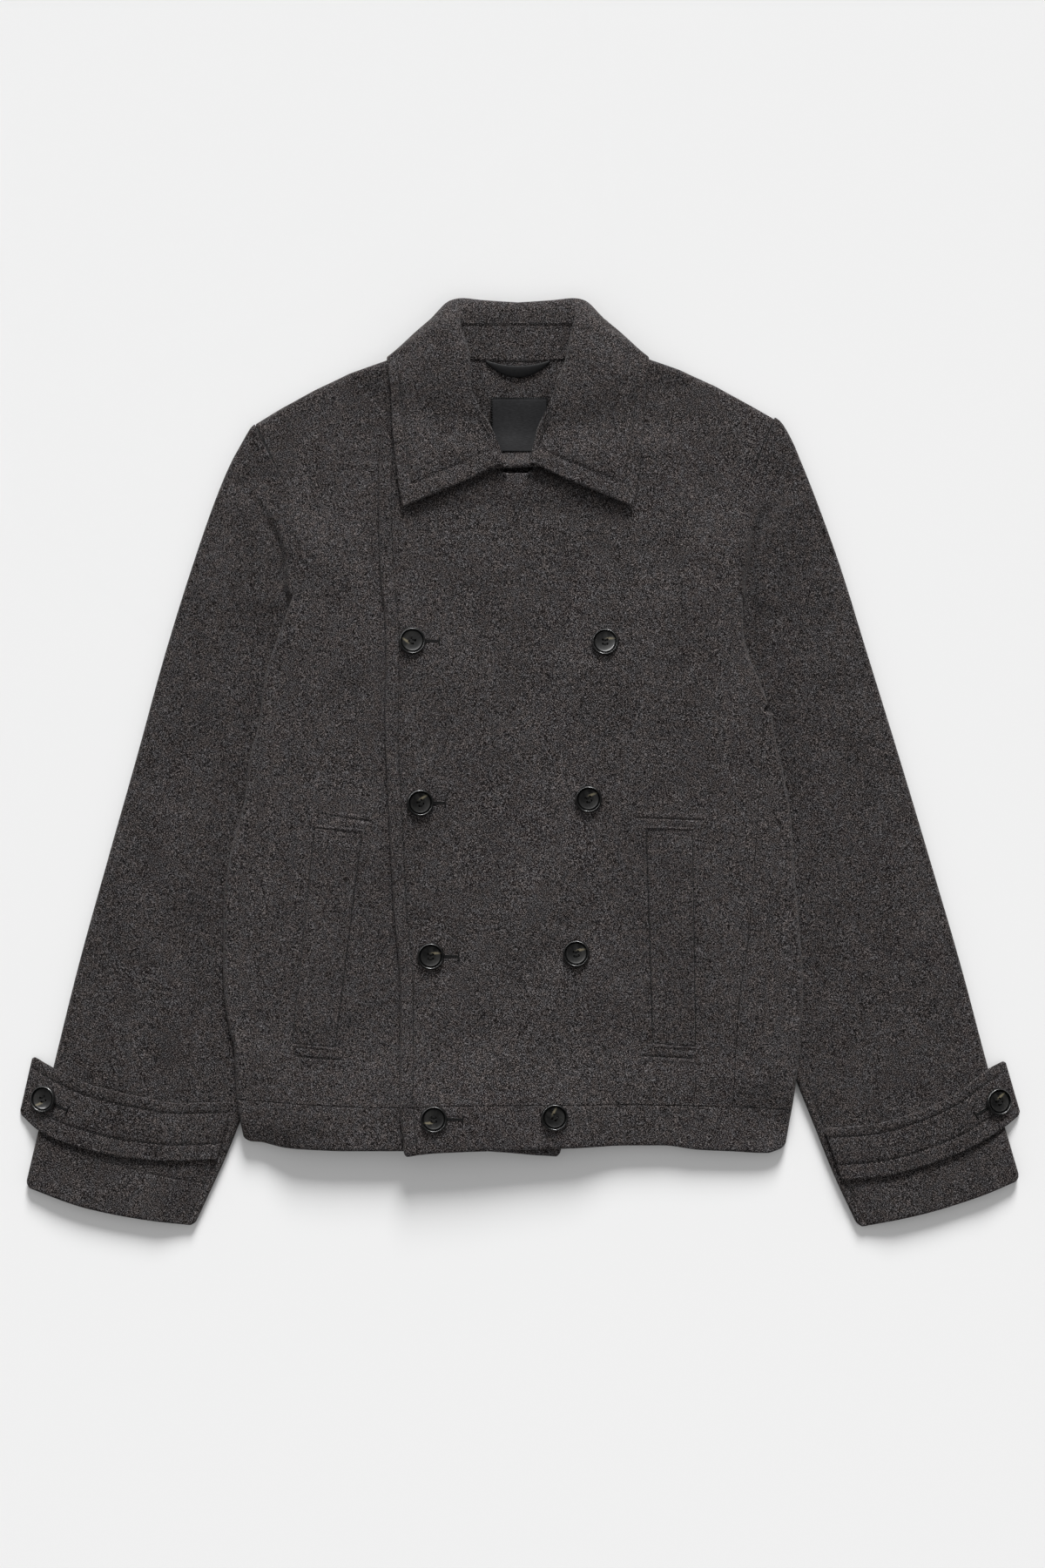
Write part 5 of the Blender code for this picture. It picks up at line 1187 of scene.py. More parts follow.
# collar: sections from the seam with the stand over the roll to the outer edge, for one half
collar = {
    # along, on the front, lean of the seam and of the roll at the wearer's left,
    # then distance from the middle, y, z of: stand seam, inner, roll, outer roll, middle, edge
    "sections": [
        (0.0, 0, 0.0, 0.0, (0.0, 0.3707, 0.0126), (0.0, 0.384, 0.013),
         (0.0, 0.3915, 0.0085), (0.0, 0.386, 0.0006), (0.0, 0.356, 0.0), (0.0, 0.3262, 0.0)),
        (0.14, 0, 0.0, 0.0, (0.026, 0.3705, 0.0128), (0.027, 0.3848, 0.0134),
         (0.028, 0.3933, 0.0088), (0.029, 0.3872, 0.0006), (0.032, 0.3575, 0.0), (0.035, 0.3275, 0.0)),
        (0.27, 0, 0.0, 0.0, (0.0425, 0.3702, 0.0134), (0.045, 0.3853, 0.0146),
         (0.047, 0.395, 0.0098), (0.052, 0.388, 0.0006), (0.061, 0.359, 0.0), (0.07, 0.3305, 0.0)),
        (0.38, 0, 0.0, 0.001, (0.0475, 0.3692, 0.0132), (0.05, 0.382, 0.0174),
         (0.059, 0.3915, 0.0118), (0.07, 0.3815, 0.003), (0.085, 0.365, 0.0006), (0.097, 0.342, 0.0)),
        (0.45, 0, 0.0, 0.002, (0.0485, 0.366, 0.0136), (0.05, 0.377, 0.019),
         (0.061, 0.384, 0.0176), (0.0765, 0.3735, 0.0112), (0.094, 0.3595, 0.0086), (0.1095, 0.3462, 0.0072)),
        (0.53, 0, 0.0, 0.0025, (0.0475, 0.359, 0.014), (0.048, 0.368, 0.02),
         (0.056, 0.37, 0.0228), (0.074, 0.364, 0.0186), (0.093, 0.3535, 0.015), (0.1112, 0.3425, 0.012)),
        (0.62, 1, 0.0, 0.0, (0.0437, 0.345, 0.0146), (0.0405, 0.345, 0.0196),
         (0.047, 0.344, 0.0106), (0.066, 0.342, 0.0088), (0.088, 0.333, 0.0062), (0.1085, 0.323, 0.0046)),
        (0.72, 1, 0.0047, 0.0079, (0.0405, 0.32, 0.0156), (0.0394, 0.32, 0.0202),
         (0.045, 0.318, 0.01), (0.062, 0.312, 0.0082), (0.084, 0.301, 0.0062), (0.1065, 0.289, 0.0046)),
        (0.8, 1, 0.0038, 0.0072, (0.0325, 0.3, 0.0162), (0.031, 0.299, 0.0206),
         (0.0365, 0.2965, 0.0098), (0.055, 0.289, 0.008), (0.0795, 0.278, 0.0062), (0.1045, 0.266, 0.0048)),
        (0.88, 1, 0.0018, 0.0045, (0.0215, 0.28, 0.0168), (0.02, 0.278, 0.021),
         (0.0255, 0.275, 0.0094), (0.047, 0.266, 0.0076), (0.0745, 0.254, 0.0062), (0.102, 0.242, 0.0054)),
        (1.00, 1, 0.0022, 0.0007, (0.0115, 0.256, 0.0176), (0.0096, 0.254, 0.0212),
         (0.014, 0.2535, 0.0084), (0.036, 0.243, 0.0066), (0.066, 0.2305, 0.0064), (0.0975, 0.2172, 0.0068)),
    ],
    # along, lean, then distance from the middle, y, z of: neck seam, seam with the fall
    "stand": [
        (0.0, 0.0, (0.0, 0.3426, 0.0088), (0.0, 0.3701, 0.0122)),
        (0.14, 0.0, (0.026, 0.3428, 0.0088), (0.026, 0.3699, 0.0124)),
        (0.27, 0.0, (0.04, 0.3442, 0.0089), (0.0422, 0.3695, 0.013)),
        (0.38, 0.0, (0.044, 0.347, 0.009), (0.047, 0.368, 0.0128)),
        (0.45, 0.0, (0.0457, 0.3492, 0.0092), (0.0478, 0.3648, 0.0131)),
        (0.53, 0.0, (0.0458, 0.35, 0.0096), (0.047, 0.358, 0.0134)),
        (0.62, 0.0, (0.044, 0.344, 0.0112), (0.0437, 0.3445, 0.0139)),
        (0.72, 0.0047, (0.0405, 0.32, 0.0112), (0.0405, 0.32, 0.0148)),
        (0.8, 0.0038, (0.0325, 0.3, 0.0112), (0.0325, 0.3, 0.0154)),
        (0.88, 0.0018, (0.0215, 0.28, 0.0112), (0.0215, 0.28, 0.016)),
        (1.00, 0.0022, (0.012, 0.259, 0.0112), (0.012, 0.259, 0.0167)),
    ],
    "knots": (0.0, 0.10, 0.20, 0.32, 0.65, 1.0),
    "stitchInset": 0.0112, "leafLength": 0.150, "leafWidth": 0.085,
}


def sectionLines(rows, column):
    table = [(row[0], *row[column]) for row in rows]
    return [smoothLine(table, 0, axis) for axis in (1, 2, 3)]


fallLines = [sectionLines(collar["sections"], column) for column in range(4, 10)]
fallFront = smoothLine(collar["sections"], 0, 1)
seamLean, rollLean = smoothLine(collar["sections"], 0, 2), smoothLine(collar["sections"], 0, 3)


def collarPoint(along, share):
    # along runs from -1 at the wearer's right corner to 1 at the left one; share from seam to edge
    a, side = np.abs(along), np.where(along < 0.0, -1.0, 1.0)
    leftSide = along > 0.0
    roll = rollLean(a) * leftSide
    leans = [seamLean(a) * leftSide, roll, roll, roll * 0.5, 0.0 * a, 0.0 * a]
    points = []
    for number, (line, lean) in enumerate(zip(fallLines, leans)):
        x = collarMiddle + side * (line[0](a) - lean)
        y = line[1](a)
        z = line[2](a)
        if number >= 2:
            z = z + fallFront(a) * overFace(x, y)
        points.append(np.stack(np.broadcast_arrays(x, y, z)))
    points = np.stack(points)            # section point, axis, rows, columns
    keys = np.array(collar["knots"])
    steps = np.diff(keys)[:, None, None, None]
    tangents = bendSlopes(np.diff(points, axis=0) / steps, steps)
    i = np.clip(np.searchsorted(keys, share, side="right") - 1, 0, len(keys) - 2)
    h = np.diff(keys)[i]
    t = (share - keys[i]) / h
    rows, columns = np.indices(points.shape[2:])
    i = np.broadcast_to(i, points.shape[2:])
    return [
        cubic(t, h, *(values[k, axis, rows, columns] for values in (points, tangents) for k in (i, i + 1)))
        for axis in range(3)
    ]


def makeCollarFall():
    tip = np.array([0.0, 0.0008, 0.003, 0.007, 0.013, 0.022, 0.035, 0.05, 0.062, 0.068, 0.0715, 0.075,
                    0.078, 0.082, 0.09])
    half = np.concatenate([np.linspace(0.0, 0.89, 96), 1.0 - tip[::-1]])
    along = np.concatenate([-half[:0:-1], half])[None, :]
    edge = np.array([0.0, 0.0015, 0.006, 0.013, 0.024, 0.038, 0.07, 0.105, 0.120, 0.127, 0.132, 0.137,
                     0.144, 0.16])
    share = np.concatenate([np.linspace(0.0, 0.82, 52), 1.0 - edge[::-1]])[:, None]
    along, share = np.broadcast_arrays(along, share)
    x, y, z = collarPoint(along, share)
    fromTip = (1.0 - np.abs(along)) * collar["leafLength"]
    fromEdge = (1.0 - share) * collar["leafWidth"]
    onLeaf = ease((np.abs(along) - 0.50) / 0.10) * ease((share - 0.15) / 0.12)
    wave = 0.0005 * np.sin(9.0 * along + 2.0 * share) * onLeaf
    z = z + wave - roundOff(fromTip, 0.0013, 0.0012) * onLeaf
    z = z - roundOff(fromEdge, 0.0012, 0.0012) * onLeaf
    inset = collar["stitchInset"]
    past = ease((fromTip - inset + 0.001) / 0.002)
    z = z - groove(fromEdge, inset, 0.0010, 0.0011) * onLeaf * past
    z = z - groove(fromTip, inset, 0.0010, 0.0011) * onLeaf * ease((fromEdge - inset + 0.001) / 0.002)
    z = z - 0.0004 * ease((0.010 - share) / 0.010) * (1.0 - ease((np.abs(along) - 0.5) / 0.08))
    piece = gridPiece("collarFall", x, y, z, layers["collarWall"], ["collar_fall"], material=woolCollar)


def makeCollarStand():
    low, high = sectionLines(collar["stand"], 2), sectionLines(collar["stand"], 3)
    lean = smoothLine(collar["stand"], 0, 1)
    half = np.linspace(0.0, 1.0, 90)
    along = np.concatenate([-half[:0:-1], half])[None, :]
    a, side = np.abs(along), np.where(along < 0.0, -1.0, 1.0)
    v = np.array([0.0, 0.03, 0.09, 0.2, 0.35, 0.5, 0.65, 0.8, 0.91, 0.97, 1.0])[:, None]
    out, y, z = (mix(low[axis](a), high[axis](a), v) for axis in range(3))
    out = out + 0.0034 * ease((a - 0.60) / 0.10)
    x = collarMiddle + side * (out - lean(a) * (along > 0.0))
    behind = 1.0 - ease((a - 0.5) / 0.08)
    y = y + (0.0024 * v - 0.0014 * (1.0 - v)) * behind
    z = z + (0.0022 * (1.0 - v) + 0.0002 * v) * behind
    z = z - (roundOff(v * 0.028, 0.0010, 0.0006) + roundOff((1.0 - v) * 0.030, 0.0007, 0.0001)) * behind
    piece = gridPiece("collarStand", x, y, z, layers["standWall"], ["collar_stand"], material=woolCollar)


# inside the neck
def facingFace(x, y):
    return backUnderside(x, y) + wall + layers["facingGap"] + layers["facingWall"]


neckTrim = {
    "loopLeft": (-0.0290, 0.3410), "loopRight": (0.0253, 0.3410), "loopSag": 0.0088, "loopWidth": 0.0100,
    "label": (-0.0240, 0.0232, 0.2650, 0.3108),
}


def makeFacing():
    top = straightLine(topEdges["back"])
    x = np.linspace(-0.0560, 0.0522, 44)[None, :]
    v = np.linspace(0.0, 1.0, 44)[:, None]
    end = facing["end"] + 0.0010 * np.sin(55.0 * x)
    y = mix(end, top(x) + 0.0018, v)
    z = facingFace(x, y)
    between = ease((facing["free"] - np.abs(x - collarMiddle)) / 0.012)
    slope = ease((end + facing["slope"] - y) / facing["slope"])
    z = mix(z, np.maximum(z, overFace(x, end) + facing["lift"]), slope * between)
    z = z - roundOff(y - end, 0.0016, 0.0016)
    piece = gridPiece("backNeckFacing", x, y, z, layers["facingWall"], ["back_neck_facing"],
                      material=woolInside)


def makeLabel():
    x0, x1, y0, y1 = neckTrim["label"]
    x = np.linspace(x0, x1, 40)[None, :]
    near = np.array([0.0, 0.0002, 0.0005, 0.0009, 0.0014])
    tall = y1 - y0
    v = closeAtEnds(near, 0.0025, tall, 36)[:, None] / tall
    y = mix(y0, y1, v) + 0.0 * x
    sway = 0.00025 * np.sin(150.0 * x) * np.sin(90.0 * y) * ease((x1 - x) / 0.01) * ease((x - x0) / 0.01)
    z = facingFace(x, y) + 0.0003 + layers["labelWall"] + sway
    z = z - roundOff((1.0 - v) * tall, 0.0011, 0.0009) - roundOff(v * tall, 0.0011, 0.0006)
    z = z - groove((1.0 - v) * tall, 0.0014, 0.0002, 0.0005)
    piece = gridPiece("neckLabel", x, y, z, layers["labelWall"], ["neck_label"], material=satinBlack)


def makeLoop():
    t = np.linspace(0.0, 1.0, 60)[None, :]
    across = np.array([-1.0, -0.9, -0.6, 0.0, 0.6, 0.9, 1.0])[:, None]
    (x0, y0), (x1, y1) = neckTrim["loopLeft"], neckTrim["loopRight"]
    sag = neckTrim["loopSag"] * (1.0 - (2.0 * t - 1.0) ** 2)
    x = mix(x0, x1, t) + 0.0 * across
    hang = sag / neckTrim["loopSag"]
    y = mix(y0, y1, t) - sag + across * neckTrim["loopWidth"] / 2.0 * (0.25 + 0.75 * hang)
    z = facingFace(x, y) + 0.0013 + 0.0014 * hang - 0.0005 * across ** 4
    piece = gridPiece("hangerLoop", x, y, z, layers["loopWall"], ["hanger_loop"], material=tapeBlack)


makeBack()
makeBandBack()
makeFrontUnder()
makeBandUnder()
makeFrontOver()
makeBandOver()
print("coat: body laid")
for name in ("right", "left"):
    makeSleeve(name)
for name in ("right", "left"):
    makeStrap(name)
print("coat: sleeves and straps laid")
for name in ("right", "left"):
    makePocketFrame(name)
for name in ("right", "left"):
    makeWelt(name)
makeCollarFall()
makeCollarStand()
makeFacing()
makeLabel()
makeLoop()
print("coat: collar and neck laid")

# buttons: x, y, turn of the pale fleck in degrees
buttons = {
    "sewn": [(0.0722, 0.1029, 0.0), (0.0581, -0.0303, 20.0), (0.0477, -0.1613, 8.0), (0.0292, -0.2995, 62.0)],
    "through": [(-0.0914, 0.1036, 146.0), (-0.0847, -0.0333, 30.0), (-0.0758, -0.1635, 0.0),
                (-0.0729, -0.3010, 182.0)],
    "cuffs": {"right": (-0.4044, -0.2849, 200.0), "left": (0.4059, -0.2871, 40.0)},
    "radius": 0.0115, "lift": -0.0002, "holeRadius": 0.00110, "holeOffset": 0.0018,
    "threadRadius": 0.00026, "threadLane": 0.00028, "threadRise": 0.0014,
    # radius and height of the turned profile, from the dish's middle over the rim to the back
    "profile": [
        (0.0, 0.0021), (0.0030, 0.0022), (0.0056, 0.0024), (0.0072, 0.0026), (0.0078, 0.00275),
        (0.0082, 0.0029), (0.0085, 0.0029), (0.0087, 0.0025), (0.0089, 0.0019), (0.0091, 0.0016),
        (0.0094, 0.0018), (0.00955, 0.0024), (0.0096, 0.0029), (0.00975, 0.0033), (0.00998, 0.00358),
        (0.01025, 0.0037), (0.01052, 0.0036),
        (0.01080, 0.0033), (0.01110, 0.0027), (0.01140, 0.0019), (0.0116, 0.0012), (0.0113, 0.0007),
        (0.0104, 0.0005), (0.0092, 0.0001), (0.0078, 0.0), (0.0, 0.0),
    ],
}


def meshOf(bm, name):
    mesh = bpy.data.meshes.new(name)
    bm.to_mesh(mesh)
    bm.free()
    return mesh


def buttonMesh():
    bm = bmesh.new()
    points = [bm.verts.new((r, 0.0, z)) for r, z in buttons["profile"]]
    lines = [bm.edges.new(pair) for pair in zip(points, points[1:])]
    bmesh.ops.spin(bm, geom=points + lines, cent=(0, 0, 0), axis=(0, 0, 1), angle=math.tau, steps=56,
                   use_merge=True, use_duplicate=False)
    bmesh.ops.remove_doubles(bm, verts=bm.verts, dist=0.00002)
    bmesh.ops.recalc_face_normals(bm, faces=bm.faces)
    cut = bmesh.new()
    for sx in (-1.0, 1.0):
        for sy in (-1.0, 1.0):
            place = Matrix.Translation((sx * buttons["holeOffset"], sy * buttons["holeOffset"], 0.002))
            bmesh.ops.create_cone(cut, cap_ends=True, segments=16, radius1=buttons["holeRadius"],
                                  radius2=buttons["holeRadius"], depth=0.008, matrix=place)
    whole = bpy.data.objects.new("buttonWhole", meshOf(bm, "buttonShape"))
    holes = bpy.data.objects.new("buttonCutter", meshOf(cut, "buttonHoles"))
    for thing in (whole, holes):
        bpy.context.scene.collection.objects.link(thing)
    carve = whole.modifiers.new("holes", "BOOLEAN")
    carve.operation = "DIFFERENCE"
    carve.object = holes
    bpy.context.view_layer.update()
    done = bpy.data.meshes.new_from_object(whole.evaluated_get(bpy.context.evaluated_depsgraph_get()))
    for thing in (whole, holes):
        bpy.data.objects.remove(thing, do_unlink=True)
    done.name = "turnedButton"
    done.shade_smooth()
    done.set_sharp_from_angle(angle=math.radians(62.0))
    done.materials.clear()
    done.materials.append(hornDark)
    return done


def buttonThread():
    # two parallel runs of thread through each pair of holes
    bm = bmesh.new()
    off, thick, rise = buttons["holeOffset"], buttons["threadRadius"], buttons["threadRise"]
    for sy in (-1.0, 1.0):
        for lane in (-buttons["threadLane"], buttons["threadLane"]):
            rings = []
            for step in range(9):
                t = step / 8.0
                x = mix(-off, off, t)
                z = rise + rise * math.sin(math.pi * t) ** 0.6
                ring = [bm.verts.new((x, sy * off + lane + thick * math.cos(a), z + thick * math.sin(a)))
                        for a in (math.tau * k / 6.0 for k in range(6))]
                rings.append(ring)
            for first, second in zip(rings, rings[1:]):
                for k in range(6):
                    bm.faces.new((first[k], first[(k + 1) % 6], second[(k + 1) % 6], second[k]))
            bm.faces.new(rings[0][::-1])
            bm.faces.new(rings[-1])
    bmesh.ops.recalc_face_normals(bm, faces=bm.faces)
    mesh = meshOf(bm, "buttonThread")
    mesh.shade_smooth()
    mesh.materials.append(threadDark)
    return mesh


def placeButton(name, node, x, y, turn, face, meshes):
    reach = buttons["radius"]
    slopeX = float(face(x + reach, y) - face(x - reach, y)) / (2 * reach)
    slopeY = float(face(x, y + reach) - face(x, y - reach)) / (2 * reach)
    normal = Vector((-slopeX, -slopeY, 1.0)).normalized()
    base = float(face(x, y))
    for step in range(24):
        angle = math.tau * step / 24.0
        for part in (0.5, 0.9):
            dx, dy = part * reach * math.cos(angle), part * reach * math.sin(angle)
            base = max(base, float(face(x + dx, y + dy)) - slopeX * dx - slopeY * dy)
    spin = Vector((0.0, 0.0, 1.0)).rotation_difference(normal).to_matrix().to_4x4()
    spot = Vector((x + shiftX, y + shiftY, base)) + normal * buttons["lift"]
    place = Matrix.Translation(spot) @ spin @ Matrix.Rotation(math.radians(turn), 4, "Z")
    for mesh, label in zip(meshes, ("", "Thread")):
        piece = bpy.data.objects.new(name + label, mesh)
        piece.matrix_world = place
        bpy.context.scene.collection.objects.link(piece)
        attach(piece, "root")
        if not label:
            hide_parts(node)


buttonMeshes = (buttonMesh(), buttonThread())
for kind in ("sewn", "through"):
    for number, (x, y, turn) in enumerate(buttons[kind], 1):
        placeButton(f"button{kind.title()}{number}", f"button_{number}_{kind}", x, y, turn, overFace,
                    buttonMeshes)
for name, (x, y, turn) in buttons["cuffs"].items():
    placeButton("buttonCuff" + name.title(), "button_cuff_" + name, x, y, turn, partial(strapFace, name),
                buttonMeshes)
print("coat: buttons sewn on")


# stitching: short runs of thread that lie in the grooves
stitch = {"pitch": 0.0042, "length": 0.0031, "radius": 0.00028, "sides": 5}


def stitchMesh(name, runs, material=threadDark, radius=stitch["radius"], pitch=stitch["pitch"],
               length=stitch["length"]):
    # runs are lists of 3-D points; each stitch is a small spindle along its run
    points, faces = [], []
    sides = stitch["sides"]
    for run in runs:
        run = np.asarray(run, float)
        gaps = np.linalg.norm(np.diff(run, axis=0), axis=1)
        reach = np.concatenate([[0.0], np.cumsum(gaps)])
        single = reach[-1] < pitch
        size = reach[-1] if single else length
        for start in [0.0] if single else np.arange(pitch * 0.3, reach[-1] - length, pitch):
            stations = start + size * np.array([0.0, 0.22, 0.5, 0.78, 1.0])
            spine = np.stack([np.interp(stations, reach, run[:, axis]) for axis in range(3)], axis=1)
            along = spine[-1] - spine[0]
            along /= np.linalg.norm(along)
            across = np.cross(along, (0.0, 0.0, 1.0))
            across /= max(np.linalg.norm(across), 1e-9)
            up = np.cross(across, along)
            first = len(points)
            for spot, swell in zip(spine, (0.25, 0.9, 1.0, 0.9, 0.25)):
                for k in range(sides):
                    a = math.tau * k / sides
                    points.append(spot + radius * swell * (across * math.cos(a) + up * math.sin(a)))
            for ring in range(4):
                for k in range(sides):
                    a, b = first + ring * sides + k, first + ring * sides + (k + 1) % sides
                    faces.append((a, b, b + sides, a + sides))
            faces.append(tuple(first + k for k in reversed(range(sides))))
            faces.append(tuple(first + 4 * sides + k for k in range(sides)))
    mesh = bpy.data.meshes.new(name)
    shifted = np.array(points) + np.array([shiftX, shiftY, 0.0])
    mesh.from_pydata(shifted.tolist(), [], faces)
    piece = newPiece(name, mesh, material)
    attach(piece, "root")


def onFace(face, xs, ys, lift=0.0):
    xs, ys = np.broadcast_arrays(np.asarray(xs, float), np.asarray(ys, float))
    return np.stack([xs, ys, face(xs, ys) + lift], axis=1)


def straightRun(face, start, end, lift=0.0, count=40):
    return onFace(face, np.linspace(start[0], end[0], count), np.linspace(start[1], end[1], count), lift)


def frontEdgeRun():
    y = np.linspace(-0.331, 0.262, 240)
    edge = np.where(y < -0.291, mix(-0.0980, -0.1020, (y + 0.333) / 0.042), overEdge(y))
    return onFace(overFace, edge + frontStitch["inset"], y, -0.0004)


def collarRun(along, share, lift):
    along, share = (a[None, :] for a in np.broadcast_arrays(along, share))
    return np.stack([a[0] for a in collarPoint(along, share)], axis=1) + [0.0, 0.0, lift]


def collarRuns():
    edge, tip = (1.0 - collar["stitchInset"] / collar[size] for size in ("leafWidth", "leafLength"))
    runs = []
    for side in (-1.0, 1.0):
        runs.append(collarRun(np.linspace(0.56, tip, 90) * side, edge, -0.0004))
        runs.append(collarRun(side * tip, np.linspace(edge, 0.28, 60), -0.0004))
    return runs + [collarRun(np.linspace(-0.34, 0.34, 80), 0.018, 0.0001)]


def strapRuns(name):
    at = strapMap(name)
    tall = straps["flat"][name][1]
    runs = []
    for v in (straps["stitchLow"] / tall, 1.0 - straps["stitchTop"] / tall):
        x, y = at(np.linspace(0.02, 0.93, 80), v)
        runs.append(np.stack([x, y, strapFace(name, x, y) - 0.0004], axis=1))
    return runs


def cuffRuns(name):
    rows = sleeves[name]
    plan, outer, _ = sleevePlan(rows)
    s = np.linspace(0.04, 0.965, 90)
    t = np.full_like(s, 1.0 - cuffStitch["inset"] / sleeveShape["length"])
    x, y = plan(s, t)
    return [np.stack([x, y, sleeveTop(rows, name, x, y, t, outer) - 0.0007], axis=1)]


def weltShadowRuns(name):
    # painted shade: nearly unbroken dark thread lines down both sides of the welt stand in for the shadow in
    # the crevices there; the sewn side also has a real seam
    width, height = welts["flat"]
    q = np.linspace(0.001, height - 0.001, 60)
    runs = []
    for p in (-0.0002, width + 0.0003):
        x, y = weltSpots(name, np.full_like(q, p)[None, :], q[None, :])
        runs.append(np.stack([x[0], y[0], welts[name]["face"](x[0], y[0]) + 0.0014], axis=1))
    return runs


stitchMesh("frontEdgeStitches", [frontEdgeRun()])
stitchMesh("collarStitches", collarRuns())
for name in ("left", "right"):
    stitchMesh("strapStitches" + name.title(), strapRuns(name))
    stitchMesh("cuffStitches" + name.title(), cuffRuns(name))
    pockets = [straightRun(welts[name]["face"], a, b, 0.0001) for a, b in pocketFrame[name]]
    stitchMesh("pocketStitches" + name.title(), pockets)
# painted shade: the dark lines down the welts' sides
for name in ("left", "right"):
    stitchMesh("weltSideShadows" + name.title(), weltShadowRuns(name), radius=0.00042, pitch=0.0034, length=0.0033)
print("coat: stitched")


# buttonholes: a slit between two corded lips, with a bar at the far end
buttonholes = {"half": 0.0017, "height": 0.0007, "front": [0.0237, 0.0222, 0.0244, 0.0252],
               "strap": 0.0230, "turns": {"right": -0.42, "left": math.pi + 0.52}}


def makeButtonhole(name, start, length, turn, face):
    t = np.linspace(0.0, 1.0, 70)[None, :]
    c = np.linspace(-1.0, 1.0, 21)[:, None]
    half = buttonholes["half"]
    lip = np.maximum(0.0, 1.0 - ((np.abs(c) - 0.50) / 0.50) ** 2) * 0.5
    bar = ease((t - 0.945) / 0.012)
    profile = mix(lip, 1.2 * (1.0 - np.abs(c) ** 6), bar)
    bind = 1.0 + 0.18 * np.sin(t * length / 0.0009 * math.tau / 2.0)
    reach = half * mix(1.25 - 0.70 * t, 2.5, bar)
    ends = ease((1.0 - t) / 0.015)
    px, py = t * length, c * reach
    x = start[0] + px * math.cos(turn) - py * math.sin(turn)
    y = start[1] + px * math.sin(turn) + py * math.cos(turn)
    z = face(x, y) + 0.0001 + buttonholes["height"] * profile * bind * ends - 0.0004 * (np.abs(c) > 0.99)
    gridPiece(name, x, y, z, layers["buttonholeWall"], [], material=threadBlack)


for number, ((x, y, _), length) in enumerate(zip(buttons["through"], buttonholes["front"]), 1):
    makeButtonhole(f"buttonhole{number}", (x, y), length, 0.0, overFace)
for name, (x, y, _) in buttons["cuffs"].items():
    makeButtonhole("strapButtonhole" + name.title(), (x, y), buttonholes["strap"], buttonholes["turns"][name],
                   partial(strapFace, name))


def labelTicks():
    # small zigzag ticks that hold the label's sides
    x0, x1, y0, y1 = neckTrim["label"]
    runs = []
    for y in np.arange(y0 + 0.002, y1 - 0.001, 0.0021):
        for x, side in ((x0, -1.0), (x1, 1.0)):
            ends = (x - side * 0.0011, y), (x + side * 0.0014, y + 0.0006)
            runs.append(straightRun(facingFace, *ends, lift=0.0010, count=4))
    return runs


def labelSeams():
    x0, x1, y0, y1 = neckTrim["label"]
    return [straightRun(facingFace, (x0, y), (x1, y), 0.0006, 30) for y in (y0 + 0.0004, y1 - 0.0004)]


stitchMesh("labelTicks", labelTicks(), material=threadBlack, radius=0.00034, pitch=0.0040, length=0.0023)
stitchMesh("labelSeams", labelSeams(), material=threadBlack, radius=0.0005, pitch=0.0021, length=0.0021)
print("coat: buttonholes and label sewn")

# floor, light and camera
studio = {
    "floor": 0.86, "sky": 0.43, "skyLean": -0.20, "sun": 4.75, "sunElevation": 23.0, "sunSide": -0.09,
    "sunAngle": 20.0, "floorSize": 6.0, "floorDrop": 0.0003,
    "board": 85.0, "boardSize": (3.2, 0.7), "boardPlace": (-0.80, 1.55, 1.35),
    "cameraHeight": 3.0, "metresPerPixel": 0.00074, "imageHeight": 1801,
    "imageMiddle": (600.0, 900.5), "coatMiddle": (597.3, 877.0),
}


def makeFloor():
    bm = bmesh.new()
    bmesh.ops.create_grid(bm, x_segments=2, y_segments=2, size=studio["floorSize"])
    mesh = meshOf(bm, "paleFloor")
    shade = studio["floor"]
    surface = {"Base Color": (shade, shade, shade, 1.0), "Roughness": 1.0, "Specular IOR Level": 0.0}
    material = newFinish("paleFloorFinish", surface)[0]
    mesh.materials.append(material)
    floor = bpy.data.objects.new("paleFloor", mesh)
    floor.location.z = -studio["floorDrop"]
    bpy.context.scene.collection.objects.link(floor)


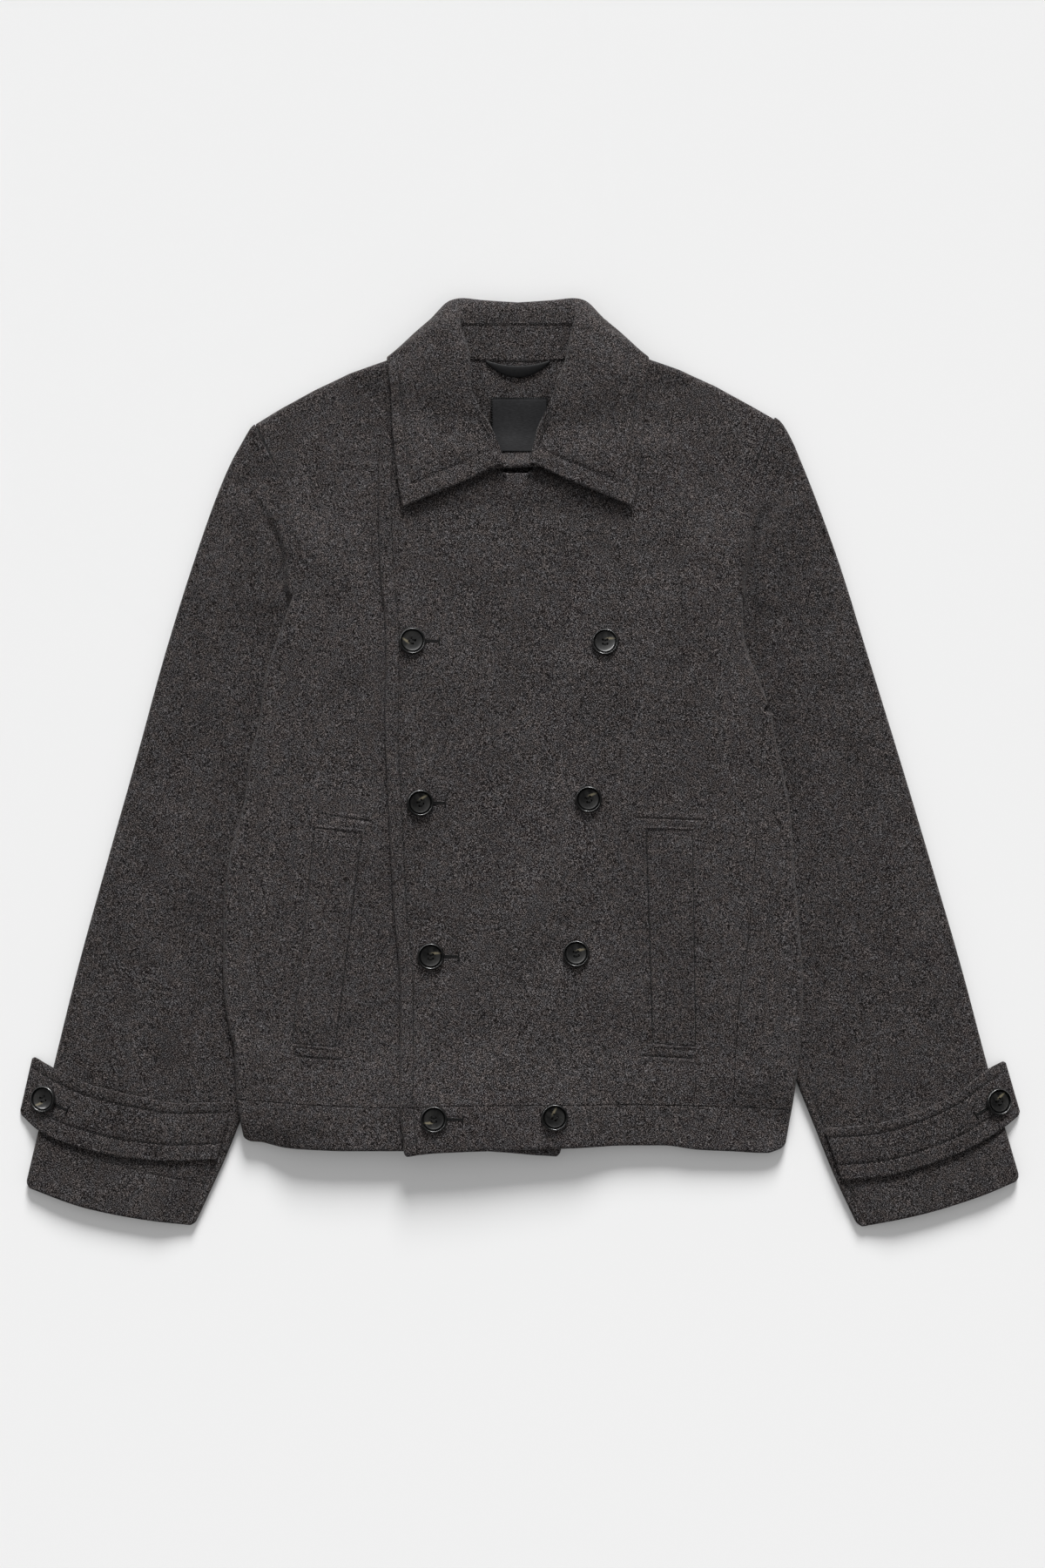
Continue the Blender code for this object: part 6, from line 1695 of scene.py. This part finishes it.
def aimLamp(lamp, direction):
    lamp.rotation_mode = "QUATERNION"
    lamp.rotation_quaternion = direction.to_track_quat("-Z", "Y")
    bpy.context.scene.collection.objects.link(lamp)


def makeLight():
    world = bpy.data.worlds.new("softRoom")
    bpy.context.scene.world = world
    world.use_nodes = True
    world.cycles_visibility.glossy = False
    # the room is brighter towards the window above the picture than behind the camera
    tree = world.node_tree
    around = addNode(tree, "TexCoord", {}, "Generated")
    towards = addNode(tree, "SeparateXYZ", {"Vector": around}, "Y")
    glow = addMath(tree, "MULTIPLY_ADD", towards, studio["sky"] * studio["skyLean"], studio["sky"])
    background = tree.nodes["Background"]
    background.inputs["Color"].default_value = (1.0, 1.0, 1.0, 1.0)
    tree.links.new(glow, background.inputs["Strength"])
    lamp = bpy.data.lights.new("windowLight", "SUN")
    lamp.energy = studio["sun"]
    lamp.angle = math.radians(studio["sunAngle"])
    sun = bpy.data.objects.new("windowLight", lamp)
    up = math.radians(studio["sunElevation"])
    aimLamp(sun, Vector((studio["sunSide"], -math.cos(up), -math.sin(up))))
    # a long white board beside the window, seen only as the shine on the buttons and the satin
    shape = bpy.data.lights.new("whiteBoard", "AREA")
    shape.shape = "RECTANGLE"
    shape.size, shape.size_y = studio["boardSize"]
    shape.energy = studio["board"]
    board = bpy.data.objects.new("whiteBoard", shape)
    board.location = studio["boardPlace"]
    aimLamp(board, -Vector(studio["boardPlace"]))
    board.visible_diffuse = False


def makeCamera():
    data = bpy.data.cameras.new("overheadCamera")
    data.sensor_width = 36.0
    height = studio["cameraHeight"]
    tall = studio["imageHeight"] * studio["metresPerPixel"]
    data.lens = data.sensor_width * (height - 0.005) / tall
    camera = bpy.data.objects.new("overheadCamera", data)
    image, coat = studio["imageMiddle"], studio["coatMiddle"]
    scale = studio["metresPerPixel"]
    camera.location = ((image[0] - coat[0]) * scale + shiftX, (coat[1] - image[1]) * scale + shiftY, height)
    bpy.context.scene.collection.objects.link(camera)
    bpy.context.scene.camera = camera


makeFloor()
makeLight()
makeCamera()
bpy.context.scene.view_settings.view_transform = "Standard"
print("coat: studio ready")
